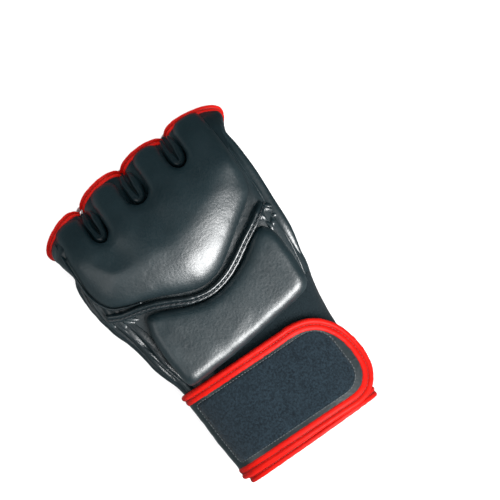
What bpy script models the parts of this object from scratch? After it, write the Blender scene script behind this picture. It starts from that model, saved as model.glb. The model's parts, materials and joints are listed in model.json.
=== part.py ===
"""A left-hand mixed martial arts glove, lying palm down with its strap closed.

+Z is up, out of the back of the hand. +Y points from the cuff to the fingers and +X towards the thumb side.
The origin is under the middle of the glove, on the surface that it lies on. Shapes are laid out in glove
coordinates, in millimetres from the middle of the cuff's hem, and one empty moves them all to the origin.
"""

import math

import bmesh
import bpy
import numpy as np
from mathutils import Matrix, Vector

MM = 0.001

# Driving dimensions, in millimetres
ORIGIN_X, ORIGIN_Y, ORIGIN_Z = 2.02, 113.0, -1.45  # under the glove's middle, in glove coordinates
LEATHER = 2.0  # leather with its backing cloth
LINING = 1.0
GAP = 0.35  # between pieces that touch
ROUNDNESS = 2.4  # superellipse exponent of the hand's cross-section
KNUCKLE_SLANT = 0.119  # how far the knuckle line runs forward for each mm towards the thumb
BINDING_R = 2.2  # rolled red leather edge

# Cross-sections of the hand shell: y, little finger edge, thumb edge, height of the back, side seam, palm
STATIONS = np.array(
    [
        (0, -41.5, 54.0, 41.0, 22.0, 3.4),
        (12, -42.6, 56.5, 41.4, 22.0, 3.3),
        (36, -44.6, 59.0, 42.0, 22.0, 3.3),
        (62, -46.0, 60.0, 43.0, 22.6, 3.4),
        (70, -46.6, 60.5, 43.6, 23.2, 5.0),
        (78, -47.2, 61.5, 44.6, 25.0, 12.0),
        (86, -48.8, 62.8, 45.6, 27.2, 19.0),
        (96, -51.5, 65.0, 47.0, 29.4, 21.8),
        (108, -54.0, 67.0, 49.0, 31.8, 22.8),
        (120, -57.0, 68.5, 51.0, 33.6, 23.4),
        (131, -61.0, 69.0, 52.2, 34.6, 23.8),
        (142, -63.8, 69.4, 53.0, 35.0, 24.0),
        (160, -64.4, 70.0, 52.5, 34.2, 23.4),
        (176, -64.8, 70.4, 48.8, 31.6, 20.4),
        (186, -65.4, 71.0, 44.6, 29.4, 17.2),
        (194, -66.0, 71.5, 40.6, 27.2, 13.6),
        (222, -66.0, 71.5, 24.0, 15.0, 6.0),
    ]
)
HEM_Y = 3.2  # middle of the cuff's rolled hem
SHELL_START = HEM_Y + BINDING_R + GAP
BACK_FRONT, PALM_FRONT = 187.2, 181.0  # where the shell stops, on the back and on the palm
BACK_EDGE, PALM_EDGE = 22.0, 20.0  # degrees above and below the side seam where the side panels start
SLIT_TOP = 88.0  # the cuff is open on the thumb side up to here
SLIT_RISE = (8.6, 22, 38, 54, 66, 76)  # y of the slit's binding as it rises from the hem
SLIT_BINDING_R = 1.7

# Finger sleeves: name, root x, mouth x, mouth y, mouth half-width, outward turn of the mouth in degrees
FINGERS = (
    ("little", -50.0, -53.5, 199.6, 14.9, -20.0),
    ("ring", -17.5, -18.0, 208.6, 14.9, -4.0),
    ("middle", 16.5, 16.6, 211.8, 14.9, 2.0),
    ("index", 52.0, 54.2, 212.2, 18.6, 18.0),
)
FINGER_ROOT = 191.0  # station of the sleeves' rear ends
ROOT_HALF_W, ROOT_HALF_H, ROOT_PITCH = 15.2, 12.4, 24.0
MOUTH_Z, MOUTH_HALF_H, MOUTH_PITCH = 10.3, 11.2, 40.0
KNUCKLE_STATION, KNUCKLE_Z = 190.0, 29.0

THUMB_HINGE = (47.0, 84.0)
# Thumb sleeve sections: middle x, y, z, half-width, half-height
THUMB_SECTIONS = (
    (45.6, 92.5, 8.4, 16.6, 8.2),
    (43.2, 108.0, 9.0, 17.8, 9.2),
    (40.2, 127.0, 9.4, 18.6, 9.8),
    (36.8, 146.0, 9.9, 19.4, 10.2),
)
THUMB_YAW = 10.0
THUMB_REAR_SLANT = 0.36  # the outer side starts further forward, to clear the palm as it swings

STRAP_Y = (8.6, 68.4)  # the flap's leather on the back of the wrist
BAND_Y = (13.2, 58.6)  # the strap's leather on the palm side
BAND_END_DEG = 323.0  # where round the wrist the band ends, short of the slit
END_STRIP_DEGREES = (336.0, 331.0, 325.5)  # rows of the hook strip between the band and the slit
STRAP_BINDING_R = 2.4
STRAP_HINGE_DEG = 180.0  # where round the wrist the flap turns up from the band

PAD_EDGE_LIFT = 0.9  # pads stand this far off the shell's facets
KNUCKLE_PAD = 15.0
WRIST_PAD = 9.0

KNUCKLE_OUTLINE = (
    (-62.0, 172), (-62.5, 160), (-61.5, 151), (-58.5, 145.5), (-53.0, 141.3), (-46.0, 138), (-37.0, 136),
    (-28.0, 132.5), (-18.0, 127.5), (-8.0, 123.5), (4.0, 122), (16.0, 124), (26.0, 128.5), (36.0, 134.5),
    (46.0, 140), (56.0, 146), (61.5, 152), (63.5, 160), (63.5, 175),
)
WRIST_OUTLINE = (
    (-38.5, 125.0), (-30, 124), (-20, 120), (-10, 116), (0, 113.6), (10, 114), (20, 116), (30, 119.5),
    (36, 123), (41, 127.5), (46, 131.5), (52, 132.8), (57, 130), (60, 124), (61, 112), (61, 100), (60, 91),
    (56, 84.8), (49, 82.6), (40, 81.2), (25, 79.4), (10, 77.4), (-10, 75.2), (-28, 74.0), (-38, 73.8),
    (-41.4, 76.5), (-43, 86), (-44, 100), (-43.6, 113), (-42, 121.5),
)
WELT = (
    (-59, 140), (-52, 135.4), (-40, 132.6), (-30, 129.2), (-20, 124.4), (-10, 119.8), (0, 117.2), (10, 117.4),
    (20, 120.2), (30, 125.4), (40, 131.6), (50, 137.4), (60, 143.2), (66, 149),
)
WINDOW = (
    (-38, 112), (-36, 128), (-30, 145), (-18, 157), (-2, 164), (16, 167), (32, 165), (44, 158), (50.5, 148),
    (50.5, 138), (44, 129), (34, 121), (22, 113), (12, 104), (4, 95), (-6, 89), (-18, 87), (-29, 90.5),
    (-36, 99),
)
FLAP_OUTLINE = (
    (-70, 68.4), (20, 68.4), (34, 68.4), (43, 66.4), (50, 62.4), (55.5, 56.6), (59.4, 49), (61.4, 40),
    (61.4, 31), (59.4, 22), (55.6, 15.4), (50, 10.8), (43, 8.6), (34, 8.6), (20, 8.6), (-70, 8.6),
)


# --- Scene ----------------------------------------------------------------------------------------


def clear_scene():
    for obj in list(bpy.data.objects):
        bpy.data.objects.remove(obj)


def new_collection(name):
    collection = bpy.data.collections.new(name)
    bpy.context.scene.collection.children.link(collection)
    return collection


def new_empty(name, at, parent=None):
    empty = bpy.data.objects.new(name, None)
    empty.location = Vector(at) * MM
    empty.parent = parent
    GLOVE.objects.link(empty)
    return empty


def material(name, colour, roughness):
    made = bpy.data.materials.new(name)
    made.use_nodes = True
    shader = made.node_tree.nodes["Principled BSDF"]
    shader.inputs["Base Color"].default_value = (*colour, 1.0)
    shader.inputs["Roughness"].default_value = roughness
    return made


def new_object(name, mesh):
    obj = bpy.data.objects.new(name, mesh)
    GLOVE.objects.link(obj)
    return obj


def baked(obj):
    """The object with its modifiers, or its curve, made into a plain closed mesh."""
    bpy.context.view_layer.update()
    graph = bpy.context.evaluated_depsgraph_get()
    mesh = bpy.data.meshes.new_from_object(obj.evaluated_get(graph), depsgraph=graph)
    soup = bmesh.new()
    soup.from_mesh(mesh)
    bmesh.ops.remove_doubles(soup, verts=soup.verts, dist=1e-6)
    bmesh.ops.recalc_face_normals(soup, faces=soup.faces)
    soup.to_mesh(mesh)
    soup.free()
    name = obj.name
    bpy.data.objects.remove(obj)
    return new_object(name, mesh)


def finish(obj, finish_material, hinge):
    """Gives a piece its material and hangs it on its body's empty, without moving it."""
    obj.data.materials.clear()
    obj.data.materials.append(finish_material)
    obj.parent = hinge
    if hinge is not ORIGIN:
        obj.location = -hinge.location
    if obj.type == "MESH":
        obj.data.shade_smooth()
        obj.data.set_sharp_from_angle(angle=math.radians(40))
    return obj


# --- The hand's form ---------------------------------------------------------------------------------------


def station(y):
    """Edges and heights of the hand shell at y, on a smooth curve through the stations."""
    rows = STATIONS
    i = int(np.clip(np.searchsorted(rows[:, 0], y) - 1, 0, len(rows) - 2))
    before, after = rows[max(i - 1, 0)], rows[min(i + 2, len(rows) - 1)]
    a, b = rows[i], rows[i + 1]
    span = b[0] - a[0]
    t = (y - a[0]) / span
    slope_a = (b[1:] - before[1:]) / (b[0] - before[0]) * span
    slope_b = (after[1:] - a[1:]) / (after[0] - a[0]) * span
    return (
        (2 * t**3 - 3 * t**2 + 1) * a[1:]
        + (t**3 - 2 * t**2 + t) * slope_a
        + (3 * t**2 - 2 * t**3) * b[1:]
        + (t**3 - t**2) * slope_b
    )


def slanted(x, y):
    """The real y of a station, which runs forward towards the thumb near the knuckles."""
    share = np.clip((y - 140) / 45, 0, 1)
    return y + KNUCKLE_SLANT * x * share * share * (3 - 2 * share)


def ring_point(y, degrees, out=0.0, up=0.0, under=0.0):
    """A point round the hand's section. out, up and under move its sides, back and palm outwards."""
    left, right, back, seam, palm = station(y)
    c, s = math.cos(math.radians(degrees)), math.sin(math.radians(degrees))
    half_w = (right - left) / 2 + out
    half_h = back - seam + up if s > 0 else seam - palm + under
    x = (left + right) / 2 + half_w * math.copysign(abs(c) ** (2 / ROUNDNESS), c)
    z = seam + half_h * math.copysign(abs(s) ** (2 / ROUNDNESS), s)
    return Vector((x, slanted(x, y), z))


def shell_height(x, y, side=1, clamp=0.93):
    """Height of the hand's back (side 1) or palm (side -1), level past the clamp near its edges."""
    left, right, back, seam, palm = station(y)
    u = min(abs(x - (left + right) / 2) / ((right - left) / 2), clamp)
    half_h = back - seam if side > 0 else palm - seam
    return seam + half_h * (1 - u**ROUNDNESS) ** (1 / ROUNDNESS)


# --- Shape makers ---------------------------------------------------------------------------------


def smooth_line(points, steps, cyclic=False):
    """A Catmull-Rom curve through points, with steps pieces between each two."""
    p = [np.array(q, float) for q in points]
    n = len(p)
    made = []
    for i in range(n if cyclic else n - 1):
        before = p[(i - 1) % n] if cyclic or i else p[0]
        a, b = p[i], p[(i + 1) % n]
        after = p[(i + 2) % n] if cyclic or i + 2 < n else b
        for k in range(steps):
            t = k / steps
            made.append(
                0.5 * (2 * a + (b - before) * t + (2 * before - 5 * a + 4 * b - after) * t * t
                       + (3 * a - before - 3 * b + after) * t**3)
            )
    return made if cyclic else [*made, p[-1]]


def loft(name, rows, thickness, ring=False, offset=-1.0):
    """A sheet through rows of points, given a thickness. A ring's rows close on themselves."""
    soup = bmesh.new()
    verts = [[soup.verts.new(Vector(p) * MM) for p in row] for row in rows]
    for low, high in zip(verts, verts[1:]):
        count = len(low) if ring else len(low) - 1
        for k in range(count):
            j = (k + 1) % len(low)
            soup.faces.new((low[k], low[j], high[j], high[k]))
    mesh = bpy.data.meshes.new(name)
    soup.to_mesh(mesh)
    soup.free()
    obj = new_object(name, mesh)
    solid = obj.modifiers.new("thickness", "SOLIDIFY")
    solid.thickness = thickness * MM
    solid.offset = offset
    solid.use_even_offset = True
    return obj


def tube(name, points, radius, cyclic=False, sides=1):
    """A rolled edge or cord along points."""
    curve = bpy.data.curves.new(name, "CURVE")
    curve.dimensions = "3D"
    curve.bevel_depth = radius * MM
    curve.bevel_resolution = sides
    curve.use_fill_caps = not cyclic
    spline = curve.splines.new("POLY")
    spline.points.add(len(points) - 1)
    for point, at in zip(spline.points, points):
        point.co = (*(Vector(at) * MM), 1.0)
    spline.use_cyclic_u = cyclic
    return new_object(name, curve)


def prism(name, outline, low=-10.0, high=120.0):
    """An upright cutter with a flat outline."""
    curve = bpy.data.curves.new(name, "CURVE")
    curve.dimensions = "2D"
    curve.fill_mode = "BOTH"
    curve.extrude = (high - low) / 2 * MM
    spline = curve.splines.new("POLY")
    spline.points.add(len(outline) - 1)
    for point, (x, y) in zip(spline.points, outline):
        point.co = (x * MM, y * MM, 0, 1)
    spline.use_cyclic_u = True
    obj = new_object(name, curve)
    solid = baked(obj)
    solid.data.transform(Matrix.Translation((0, 0, (low + high) / 2 * MM)))
    return solid


def cut(obj, cutter, operation):
    """Applies a Boolean and removes its cutter."""
    modifier = obj.modifiers.new(operation.lower(), "BOOLEAN")
    modifier.operation = operation
    modifier.object = cutter
    made = baked(obj)
    bpy.data.objects.remove(cutter)
    return made


def inset(outline, by):
    """A closed outline moved inwards by a distance."""
    p = np.array(outline, float)
    along = np.roll(p, -1, 0) - np.roll(p, 1, 0)
    along /= np.linalg.norm(along, axis=1)[:, None]
    inward = np.stack([-along[:, 1], along[:, 0]], 1)
    area = np.sum(p[:, 0] * np.roll(p[:, 1], -1) - np.roll(p[:, 0], -1) * p[:, 1])
    return p + inward * by * (1 if area > 0 else -1)


def slab(name, box, counts, bottom, top):
    """A block over a box of x and y whose underside and top follow two height functions."""
    (x0, x1), (y0, y1) = box
    soup = bmesh.new()
    bmesh.ops.create_grid(soup, x_segments=counts[0], y_segments=counts[1], size=0.5)
    for vert in soup.verts:
        vert.co.x = x0 + (vert.co.x + 0.5) * (x1 - x0)
        vert.co.y = y0 + (vert.co.y + 0.5) * (y1 - y0)
    lower = list(soup.verts)
    raised = bmesh.ops.extrude_face_region(soup, geom=list(soup.faces))["geom"]
    upper = [g for g in raised if isinstance(g, bmesh.types.BMVert)]
    for vert in lower:
        vert.co.z = bottom(vert.co.x, vert.co.y)
    for vert in upper:
        vert.co.z = top(vert.co.x, vert.co.y)
    bmesh.ops.recalc_face_normals(soup, faces=soup.faces)
    for vert in soup.verts:
        vert.co *= MM
    mesh = bpy.data.meshes.new(name)
    soup.to_mesh(mesh)
    soup.free()
    return new_object(name, mesh)


def padded_pair(name, outline, counts, bottom, top, hinge):
    """A leather cover, open below, and the foam that fills it."""
    p = np.array(outline)
    box = ((p[:, 0].min() - 3, p[:, 0].max() + 3), (p[:, 1].min() - 3, p[:, 1].max() + 3))
    room = slab(name + "_room", box, counts, lambda x, y: bottom(x, y) - 9, lambda x, y: top(x, y) - LEATHER)
    room = cut(room, prism("room_outline", inset(outline, LEATHER)), "INTERSECT")
    cover = slab(name + "_cover", box, counts, bottom, top)
    cover = cut(cover, prism("cover_outline", outline), "INTERSECT")
    cover = cut(cover, room, "DIFFERENCE")
    foam = slab(
        name + "_foam", box, counts,
        lambda x, y: bottom(x, y) + GAP,
        lambda x, y: top(x, y) - LEATHER - GAP,
    )
    foam = cut(foam, prism("foam_outline", inset(outline, LEATHER + GAP)), "INTERSECT")
    finish(cover, BLACK_LEATHER, hinge)
    finish(foam, FOAM, hinge)


# --- Hand -----------------------------------------------------------------------------------------


def shell_rows(degrees, start, drop=0.0, **grow):
    """Rows of the hand shell for loft, up to its front edge, which slants from the back to the palm."""
    rows = []
    stations = (12, 24, 38, 52, 62, 70, 78, 86, 96, 108, 122, 136, 150, 164, 174)
    stations = [y for y in stations if y > start + 3]
    for y in [start, *stations, None]:
        row = []
        for angle in degrees:
            back_share = (1 + math.sin(math.radians(angle))) / 2
            at = PALM_FRONT + (BACK_FRONT - PALM_FRONT) * back_share - drop if y is None else y
            row.append(ring_point(at, angle, **grow))
        rows.append(row)
    return rows


def hand_shell():
    back = loft("back_panel", shell_rows(np.linspace(180 - BACK_EDGE, BACK_EDGE, 13), SHELL_START), LEATHER)
    finish(back, BLACK_LEATHER, ORIGIN)

    inner = -(LEATHER + 3 * GAP)
    degrees = np.linspace(150, 30, 9)
    lining_rows = shell_rows(degrees, SHELL_START + 2, drop=1.5, out=inner, up=inner, under=inner)
    finish(loft("back_lining", lining_rows, LINING), LINING_CLOTH, ORIGIN)

    palm_degrees = np.linspace(360 - PALM_EDGE, 180 + PALM_EDGE, 13)
    palm = baked(loft("palm_panel", shell_rows(palm_degrees, SHELL_START), LEATHER))
    window = inset(smooth_line(WINDOW, 2, cyclic=True), -(BINDING_R + GAP))
    palm = cut(palm, prism("window_cut", window, 8, 30), "DIFFERENCE")
    bpy.ops.mesh.primitive_cylinder_add(vertices=20, radius=1.0, depth=1.0)
    hole = bpy.context.object
    hole.name = "thumb_hole_cut"
    hole.matrix_world = (
        Matrix.Translation(Vector((46.4, 76, 10.6)) * MM)
        @ Matrix.Rotation(math.radians(90), 4, "X")
        @ Matrix.Diagonal((18.0 * MM, 8.4 * MM, 44 * MM, 1))
    )
    hole.data.transform(hole.matrix_world)
    hole.matrix_world = Matrix.Identity(4)
    palm = cut(palm, hole, "DIFFERENCE")
    finish(palm, BLACK_LEATHER, ORIGIN)

    edge = 4.0  # degrees left free on each side of a side panel
    little = np.linspace(180 + PALM_EDGE - edge, 180 - BACK_EDGE + edge, 5)
    finish(loft("little_finger_side_panel", shell_rows(little, SHELL_START), LEATHER), BLACK_LEATHER, ORIGIN)
    thumb = np.linspace(BACK_EDGE - edge, -PALM_EDGE + edge, 5)
    finish(loft("thumb_side_panel", shell_rows(thumb, SLIT_TOP + 4), LEATHER), BLACK_LEATHER, ORIGIN)


def pads():
    front = [(x, slanted(x, BACK_FRONT)) for x in (63.0, 42.0, 21.0, 0.0, -21.0, -42.0, -61.5)]
    knuckles = [*smooth_line(KNUCKLE_OUTLINE, 2), *front]

    def knuckle_crown(x, y):
        across = min(abs(x - 0.6) / 66, 1)
        along = min(max((150 - y) / 40, 0), 1)
        return KNUCKLE_PAD * (1 - 0.26 * across**3) * (1 - 0.22 * along**2)

    def over_shell(x, y):
        return shell_height(x, y - KNUCKLE_SLANT * x * min(max((y - 140) / 45, 0), 1)) + PAD_EDGE_LIFT

    padded_pair(
        "knuckle_pad", knuckles, (13, 9), over_shell,
        lambda x, y: over_shell(x, y) + knuckle_crown(x, y), ORIGIN,
    )

    def wrist_crown(x, y):
        across, along = min(abs(x - 9) / 54, 1), min(abs(y - 101) / 30, 1)
        return WRIST_PAD * (1 - 0.22 * across**3) * (1 - 0.2 * along**3)

    padded_pair(
        "wrist_pad", WRIST_OUTLINE, (11, 6), over_shell,
        lambda x, y: over_shell(x, y) + wrist_crown(x, y), ORIGIN,
    )
    line = [(x, y, over_shell(x, y) + 1.25) for x, y in smooth_line(WELT, 2)]
    finish(tube("pad_welt", line, 1.2, sides=1), BLACK_LEATHER, ORIGIN)


def red_edges():
    """The rolled red leather on the cuff's hem, the thumb-side slit and the palm window."""
    mid = -LEATHER / 2
    degrees = np.linspace(BACK_EDGE + 3, 360 - PALM_EDGE - 3, 26)
    hem = [ring_point(HEM_Y, a, out=mid, up=mid, under=mid) for a in degrees]
    finish(tube("cuff_hem_binding", hem, BINDING_R, sides=2), RED_LEATHER, ORIGIN)

    up_back = [ring_point(y, BACK_EDGE - 8.5, out=-0.4, up=-0.4) for y in SLIT_RISE]
    down_palm = [ring_point(y, -PALM_EDGE + 8.0, out=-0.4, under=-0.4) for y in reversed(SLIT_RISE)]
    crown = [ring_point(84, 8, out=-0.2), ring_point(86.6, 0), ring_point(84, -7, out=-0.2)]
    loop = smooth_line([*up_back, *crown, *down_palm], 2)
    finish(tube("wrist_slit_binding", loop, SLIT_BINDING_R, sides=1), RED_LEATHER, ORIGIN)

    window = smooth_line(WINDOW, 2, cyclic=True)
    ring = [(x, y, shell_height(x, y, side=-1) + LEATHER / 2) for x, y in window]
    finish(tube("palm_window_binding", ring, BINDING_R - 0.2, cyclic=True, sides=1), RED_LEATHER, ORIGIN)


# --- Fingers --------------------------------------------------------------------------------------


def sleeve_section(middle, half_w, half_h, pitch, yaw, count, grow=0.0, forward=0.0):
    """A superellipse ring across a sleeve that points forward, pitched down and turned outwards."""
    turn = Matrix.Rotation(math.radians(-yaw), 3, "Z") @ Matrix.Rotation(math.radians(-pitch), 3, "X")
    made = []
    for k in range(count):
        c, s = math.cos(2 * math.pi * k / count), -math.sin(2 * math.pi * k / count)
        flat = Vector(
            (
                (half_w + grow) * math.copysign(abs(c) ** (2 / 2.3), c),
                forward,
                (half_h + grow) * math.copysign(abs(s) ** (2 / 2.3), s),
            )
        )
        made.append(Vector(middle) + turn @ flat)
    return made


def finger_sections(finger, count, grow=0.0, forward=0.0):
    """Rings from a finger sleeve's root to its mouth."""
    name, root_x, mouth_x, mouth_y, half_w, yaw = finger
    root = Vector((root_x, slanted(root_x, FINGER_ROOT) + 3.0, KNUCKLE_Z - 2.4))
    mouth = Vector((mouth_x, mouth_y, MOUTH_Z))
    rows = []
    for t in (0.0, 0.35, 0.7, 1.0):
        bulge = math.sin(math.pi * t) * 1.6
        middle = root.lerp(mouth, t) + Vector((0, 0, bulge))
        rows.append(
            sleeve_section(
                middle,
                ROOT_HALF_W + (half_w - ROOT_HALF_W) * t,
                ROOT_HALF_H + (MOUTH_HALF_H - ROOT_HALF_H) * t,
                ROOT_PITCH + (MOUTH_PITCH - ROOT_PITCH) * t,
                yaw * t,
                count,
                grow,
                forward if t == 1.0 else 0.0,
            )
        )
    return rows


def finger_pads():
    """The four padded lobes over the finger sleeves."""
    start = 192.0
    lobes = {"little": (-61.5, -39.5, 207.0), "ring": (-28.8, -6.2, 215.5), "middle": (6.6, 29.0, 219.0),
             "index": (40.2, 63.0, 221.0)}
    for name, root_x, mouth_x, mouth_y, half_w, yaw in FINGERS:
        left, right, tip = lobes[name]
        rear = slanted((left + right) / 2, start)
        middle, half = (left + right) / 2, (right - left) / 2
        arc = [
            (middle + half * math.cos(a), tip - 7 + 7 * math.sin(a)) for a in np.linspace(0, math.pi, 9)
        ]
        outline = [(left, rear), (right, rear), *arc]
        root_top = KNUCKLE_Z - 2.4 + ROOT_HALF_H
        mouth_top = MOUTH_Z + MOUTH_HALF_H * math.cos(math.radians(MOUTH_PITCH)) + 1.8
        mouth_front = mouth_y + MOUTH_HALF_H * math.sin(math.radians(MOUTH_PITCH))

        def under(x, y, rear=rear, front=mouth_front, high=root_top, low=mouth_top):
            t = (y - rear) / (front - rear)
            return high + (low - high) * t + 3.4 * math.sin(math.pi * min(max(t, 0), 1)) + 2.4

        def over(x, y, rear=rear, tip=tip, under=under):
            t = min(max((y - rear) / (tip - rear), 0), 1)
            return under(x, y) + 11.8 - 3.8 * t * t

        padded_pair(name + "_pad", outline, (3, 4), under, over, KNUCKLES)


def finger_sleeves():
    for finger in FINGERS:
        name = finger[0]
        sleeve = loft(name + "_sleeve", finger_sections(finger, 16), LEATHER, ring=True)
        finish(sleeve, BLACK_LEATHER, KNUCKLES)
        ring = finger_sections(finger, 22, grow=-LEATHER / 2, forward=BINDING_R + 2 * GAP)[-1]
        finish(tube(name + "_binding", ring, BINDING_R, cyclic=True, sides=1), RED_LEATHER, KNUCKLES)


def web_tacks():
    """White thread that ties each two neighbouring mouths together."""
    for first, second in zip(FINGERS, FINGERS[1:]):
        left, right = (
            finger_sections(finger, 22, grow=-LEATHER / 2, forward=BINDING_R + 2 * GAP)[-1]
            for finger in (first, second)
        )
        a = max(left, key=lambda p: p.x)
        b = min(right, key=lambda p: p.x)
        toward = (b - a).normalized()
        ends = [a + toward * (BINDING_R + GAP), b - toward * (BINDING_R + GAP)]
        finish(tube(f"{first[0]}_{second[0]}_tack", ends, 0.8, sides=1), WHITE_THREAD, KNUCKLES)


# --- Thumb ----------------------------------------------------------------------------------------


def thumb():
    rows = []
    for i, (x, y, z, half_w, half_h) in enumerate(THUMB_SECTIONS):
        ring = sleeve_section((x, y, z), half_w, half_h, 0, -THUMB_YAW, 20)
        if i == 0:
            ring = [p + Vector((0, THUMB_REAR_SLANT * (p.x - x), 0)) for p in ring]
        rows.append(ring)
    finish(loft("thumb_sleeve", rows, LEATHER, ring=True), BLACK_LEATHER, THUMB)
    x, y, z, half_w, half_h = THUMB_SECTIONS[-1]
    rim = sleeve_section(
        (x, y, z), half_w, half_h, 0, -THUMB_YAW, 24, grow=-LEATHER / 2, forward=BINDING_R + GAP
    )
    finish(tube("thumb_binding", rim, BINDING_R, cyclic=True, sides=1), RED_LEATHER, THUMB)
    tie = [Vector((x, y, z + dz)) + Vector((-0.4, BINDING_R + GAP, 0)) for dz in (-6.2, 6.2)]
    finish(tube("thumb_mouth_tack", tie, 0.9, sides=1), WHITE_THREAD, THUMB)


# --- Strap ----------------------------------------------------------------------------------------


def wrap_rows(degrees, ys, out, up, tip=()):
    """Rows round the wrist, outside the shell. tip goes on past the last angle, as shares of the tangent."""
    rows = []
    for y in ys:
        row = [ring_point(y, a, out=out, up=up, under=out) for a in degrees]
        if len(tip):
            way = (row[-1] - row[-2]).normalized()
            row += [row[-1] + way * d for d in tip]
        rows.append(row)
    return rows


def strap():
    flap_ys = np.linspace(STRAP_Y[0] - 3, STRAP_Y[1] + 3, 6)
    over = np.linspace(STRAP_HINGE_DEG - 2.5, 50, 14)
    layer = {"hook": 2.3, "flap": 3.7, "loop": 3.7 + LEATHER + GAP}

    rows = wrap_rows(over, flap_ys, GAP, layer["flap"], (8, 16, 26))
    flap = baked(loft("strap_flap", rows, LEATHER, offset=1.0))
    flap = cut(flap, prism("flap_outline", smooth_line(FLAP_OUTLINE, 2)), "INTERSECT")
    finish(flap, BLACK_LEATHER, STRAP)

    patch_degrees = np.linspace(153, 50, 9)
    rows = wrap_rows(patch_degrees, flap_ys, GAP + LEATHER + GAP, layer["loop"], (8, 16))
    patch = baked(loft("strap_face_patch", rows, 1.0, offset=1.0))
    patch = cut(patch, prism("patch_outline", rounded_box(-60, 50.5, 14.4, 62.8, 7)), "INTERSECT")
    finish(patch, FABRIC, STRAP)

    rows = wrap_rows(np.linspace(95, 50, 5), flap_ys, GAP, layer["hook"], (8,))
    hook = baked(loft("strap_hook_patch", rows, 0.95, offset=1.0))
    hook = cut(hook, prism("hook_outline", rounded_box(4, 41, 15, 62, 4)), "INTERSECT")
    finish(hook, FABRIC, STRAP)

    rows = wrap_rows(np.linspace(125, 50, 8), flap_ys, GAP, GAP)
    loop = baked(loft("cuff_loop_patch", rows, 1.2, offset=1.0))
    loop = cut(loop, prism("loop_outline", rounded_box(-24, 41, 13, 64, 4)), "INTERSECT")
    finish(loop, FABRIC, ORIGIN)

    lift = layer["flap"] + LEATHER / 2
    edge = []
    for x, y in smooth_line(inset(FLAP_OUTLINE, -(STRAP_BINDING_R + GAP))[1:-1], 2):
        edge.append((x, y, flap_height(x, y, lift)))
    side_degrees = np.linspace(STRAP_HINGE_DEG - 2, 126, 6)
    top, bottom = (STRAP_Y[1] + STRAP_BINDING_R + GAP, STRAP_Y[0] - STRAP_BINDING_R - GAP)
    start = [ring_point(top, a, out=GAP + STRAP_BINDING_R, up=lift) for a in side_degrees]
    end = [ring_point(bottom, a, out=GAP + STRAP_BINDING_R, up=lift) for a in side_degrees[::-1]]
    finish(tube("strap_flap_binding", [*start, *edge, *end], STRAP_BINDING_R, sides=1), RED_LEATHER, STRAP)

    under = np.linspace(STRAP_HINGE_DEG + 3.0, BAND_END_DEG, 13)
    band = loft("strap_band", wrap_rows(under[::-1], np.linspace(*BAND_Y, 4), GAP, GAP), LEATHER, offset=1.0)
    finish(band, BLACK_LEATHER, ORIGIN)
    strip_rows = wrap_rows(END_STRIP_DEGREES, np.linspace(*BAND_Y, 4), GAP, GAP)
    strip = loft("strap_band_end_strip", strip_rows, 1.6, offset=1.0)
    finish(strip, FABRIC, ORIGIN)
    for name, y in (("upper", BAND_Y[1] + BINDING_R + GAP), ("lower", BAND_Y[0] - BINDING_R - GAP)):
        line = [ring_point(y, a, out=GAP + BINDING_R, under=GAP + BINDING_R) for a in under[1:]]
        finish(tube(f"strap_band_{name}_binding", line, BINDING_R, sides=1), RED_LEATHER, ORIGIN)


def flap_height(x, y, up):
    """Height of the strap over the back of the wrist, going on straight past the shell's shoulder."""
    left, right, back, seam, palm = station(min(max(y, 0), 80))
    row = [ring_point(y, a, out=GAP, up=up) for a in np.linspace(150, 50, 30)]
    way = (row[-1] - row[-2]).normalized()
    row.append(row[-1] + way * 40)
    return float(np.interp(x, [p.x for p in row], [p.z for p in row]))


def rounded_box(x0, x1, y0, y1, r):
    """A rectangle's outline with round corners, anticlockwise."""
    corners = ((x1 - r, y0 + r, -90), (x1 - r, y1 - r, 0), (x0 + r, y1 - r, 90), (x0 + r, y0 + r, 180))
    return [
        (cx + r * math.cos(math.radians(turn + d)), cy + r * math.sin(math.radians(turn + d)))
        for cx, cy, turn in corners
        for d in (0, 30, 60, 90)
    ]


clear_scene()
GLOVE = new_collection("mma_glove")
BLACK_LEATHER = material("black_leather", (0.022, 0.028, 0.031), 0.42)
RED_LEATHER = material("red_leather", (0.72, 0.03, 0.02), 0.4)
FABRIC = material("black_fabric", (0.03, 0.04, 0.048), 0.9)
LINING_CLOTH = material("lining_cloth", (0.016, 0.022, 0.024), 0.95)
FOAM = material("foam", (0.12, 0.12, 0.12), 0.9)
WHITE_THREAD = material("white_thread", (0.85, 0.8, 0.8), 0.7)

ORIGIN = new_empty("glove_origin", (-ORIGIN_X, -ORIGIN_Y, -ORIGIN_Z))
KNUCKLES = new_empty("knuckle_hinge", (0, KNUCKLE_STATION, KNUCKLE_Z), ORIGIN)
THUMB = new_empty("thumb_hinge", (*THUMB_HINGE, 10), ORIGIN)
strap_side = ring_point(40, STRAP_HINGE_DEG, out=GAP + LEATHER)
STRAP = new_empty("strap_hinge", strap_side, ORIGIN)

hand_shell()
pads()
red_edges()
finger_sleeves()
finger_pads()
web_tacks()
thumb()
strap()
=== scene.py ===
"""The looks of a left-hand mixed martial arts glove that lies palm down with its strap closed.

Shapes are laid out in glove coordinates: millimetres from the middle of the cuff's hem, +Y to the fingers,
+X to the thumb side, +Z out of the back of the hand. new_mesh() and in_frame() move them into the frame.
"""

import json
import math
from functools import cache

import bmesh
import bpy
import numpy as np
from mathutils import Matrix, Vector, noise


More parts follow.
